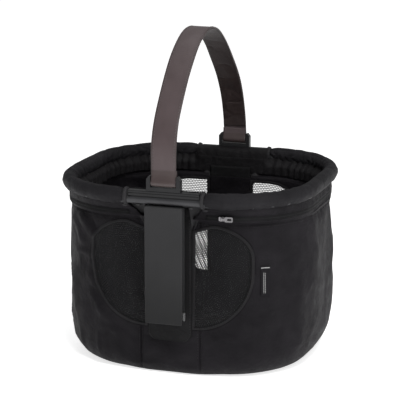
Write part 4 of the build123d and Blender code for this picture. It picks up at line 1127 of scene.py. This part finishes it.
def ribbon(line, half_width, thickness, name, finish, wrinkle, slot):
    """Flat strap with rounded edges along a line in the YZ plane."""
    line = resample(line, 1.5)
    line[1:-1] = 0.25 * line[:-2] + 0.5 * line[1:-1] + 0.25 * line[2:]
    along = tangents(line)
    out = unit(np.cross(everywhere((1.0, 0, 0), line), along))
    t = thickness / 2
    xs = np.linspace(-1, 1, 17)
    shape = np.concatenate((np.stack((xs * (half_width - t), 0 * xs - t), -1),
                            np.array([(half_width - 0.3 * t, -0.6 * t), (half_width, 0.0),
                                      (half_width - 0.3 * t, 0.6 * t)]),
                            np.stack((xs[::-1] * (half_width - t), 0 * xs + t), -1),
                            np.array([(0.3 * t - half_width, 0.6 * t), (-half_width, 0.0),
                                      (0.3 * t - half_width, -0.6 * t)])))
    section = np.repeat(shape[None], len(line), axis=0)
    run = distances(line)
    p = np.stack(np.broadcast_arrays(section[:, :, 0] / 14, run[:, None] / 30, 0 * section[:, :, 0]), -1)
    section[:, :, 1] += wrinkle(p, section[:, :, 0], run[:, None], run[-1])
    sway = 0.8 * value_noise(xyz(run / 60, 0 * run, 0 * run), 71)
    section[:, :, 0] += sway[:, None] * smooth((np.minimum(run, run[-1] - run) - 40) / 50)[:, None]
    return build(name, [sweep(line, everywhere((1.0, 0, 0), line), out, section)], finish, slot,
                 body=None, closed=True)


def leather_wrinkle(p, x, run, total):
    """Slight waves, and a groove where each row of stitches pulls in."""
    return 0.35 * value_noise(p, 72) - 0.25 * np.exp(-((np.abs(x) - 17) / 0.8) ** 2)


def lining_wrinkle(p, x, run, total):
    """Folds across the lining, strongest above its feet."""
    near = np.exp(-((np.minimum(run, total - run) - 45) / 70) ** 2)
    folds = 1 - np.abs(value_noise(p * (0.55, 1.7, 1) + 3, 73))
    return ((0.5 * value_noise(p * 1.6, 74) + 1.1 * folds ** 5) * (0.25 + 0.75 * near)
            * (1 - (np.abs(x) / 21) ** 4) - 0.2)


leather_strap = ribbon(strap_line(), 20.0, LEATHER_T, "strap_leather_band", strap_leather,
                       leather_wrinkle, "strap_leather")
leather_strap.data.materials.append(strap_wrap)
for face in leather_strap.data.polygons:
    if face.center.z < 0.3215 or (face.center.z < 0.3305 and abs(face.center.y) > 0.1868):
        face.material_index = 1
lining_strap = ribbon(arch_points(-0.75, 240, 14.0), 19.3, 1.3, "strap_lining_band", strap_lining,
                      lining_wrinkle, "strap_lining")
lines = []
for x in (-16.6, 16.6):
    curve, out = arch_spline(300)
    kept = curve[:, 2] > ARCH_LEVEL + 12
    lines.append(stitches(curve[kept] + out[kept] * 2.55 + (x, 0, 0), out[kept], 4.6, 3.2, 0.4))
for y_sign in (-1, 1):
    for z in (SEAM_Z - 0.4, SEAM_Z - 3.6):
        for layer_y in (2.4, -2.3):
            cross = xyz(np.linspace(-17, 17, 20), np.full(20, y_sign * (ARCH_Y + layer_y)), np.full(20, z))
            lines.append(stitches(cross, np.tile((0, y_sign * np.sign(layer_y), 0), (20, 1)), 3.6, 2.8, 0.42))
strap_stitching = build("strap_stitching", lines, strap_thread, "strap_leather", body=None)
for obj in (leather_strap, lining_strap, strap_stitching):
    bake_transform(obj)
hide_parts("handle_strap", "strap_end_front", "strap_end_rear")
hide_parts("handle_lining")

# ---- studio --------------------------------------------------------------------------------------
FLOOR_R = 20.0
floor_mesh = bpy.data.meshes.new("studio_floor")
bm = bmesh.new()
bmesh.ops.create_circle(bm, cap_ends=True, segments=96, radius=FLOOR_R)
bm.to_mesh(floor_mesh)
bm.free()
floor = bpy.data.objects.new("studio_floor", floor_mesh)
bpy.context.scene.collection.objects.link(floor)
paper = Finish("studio_paper", 0.9, 0.1)
paper.paint((0.93, 0.93, 0.93), (0.95, 0.95, 0.95), 1.5)
paper.shader.inputs["Emission Color"].default_value = (1, 1, 1, 1)
paper.shader.inputs["Emission Strength"].default_value = 0.70
floor_mesh.materials.append(paper.material)

world = bpy.data.worlds.new("studio_world")
bpy.context.scene.world = world
world.use_nodes = True
world.node_tree.nodes["Background"].inputs["Color"].default_value = (1, 1, 1, 1)
world.node_tree.nodes["Background"].inputs["Strength"].default_value = 0.34


def area_light(name, place, target, size, power):
    """Rectangular lamp at place that shines on target."""
    lamp = bpy.data.lights.new(name, "AREA")
    lamp.energy = power
    lamp.shape = "RECTANGLE"
    lamp.size, lamp.size_y = size
    obj = bpy.data.objects.new(name, lamp)
    obj.matrix_world = Matrix.Translation(place) @ (
        Vector(place) - Vector(target)).to_track_quat("Z", "Y").to_matrix().to_4x4()
    bpy.context.scene.collection.objects.link(obj)


area_light("key", (0.9, -1.4, 2.0), (0, 0, 0.2), (0.7, 0.7), 27)
area_light("fill", (2.0, -0.6, 0.8), (0, 0, 0.2), (1.2, 1.2), 10)
area_light("top", (0.1, 0.4, 2.3), (0, 0, 0.2), (1.6, 1.6), 9)

# the photograph's camera: its angle, its distance and its lens
AZIMUTH, ELEVATION = 17.88, 13.04
DISTANCE, FOCAL = 2.7, 150.9
turn, lift = math.radians(AZIMUTH), math.radians(ELEVATION)
back = Vector((math.sin(turn) * math.cos(lift), -math.cos(turn) * math.cos(lift), math.sin(lift)))
right = Vector((math.cos(turn), math.sin(turn), 0))
up = back.cross(right)
middle = Vector((0, 0, 0.290))
target = middle - 0.0443 * up - 0.0027 * right
lens = bpy.data.cameras.new("camera")
lens.lens = FOCAL
lens.sensor_width = 36.0
lens.clip_end = 20.0
camera = bpy.data.objects.new("camera", lens)
camera.matrix_world = (Matrix.Translation(target + DISTANCE * back)
                       @ Matrix((right, up, back)).transposed().to_4x4())
bpy.context.scene.collection.objects.link(camera)
bpy.context.scene.camera = camera
bpy.context.scene.view_settings.view_transform = "Standard"

bpy.context.view_layer.update()
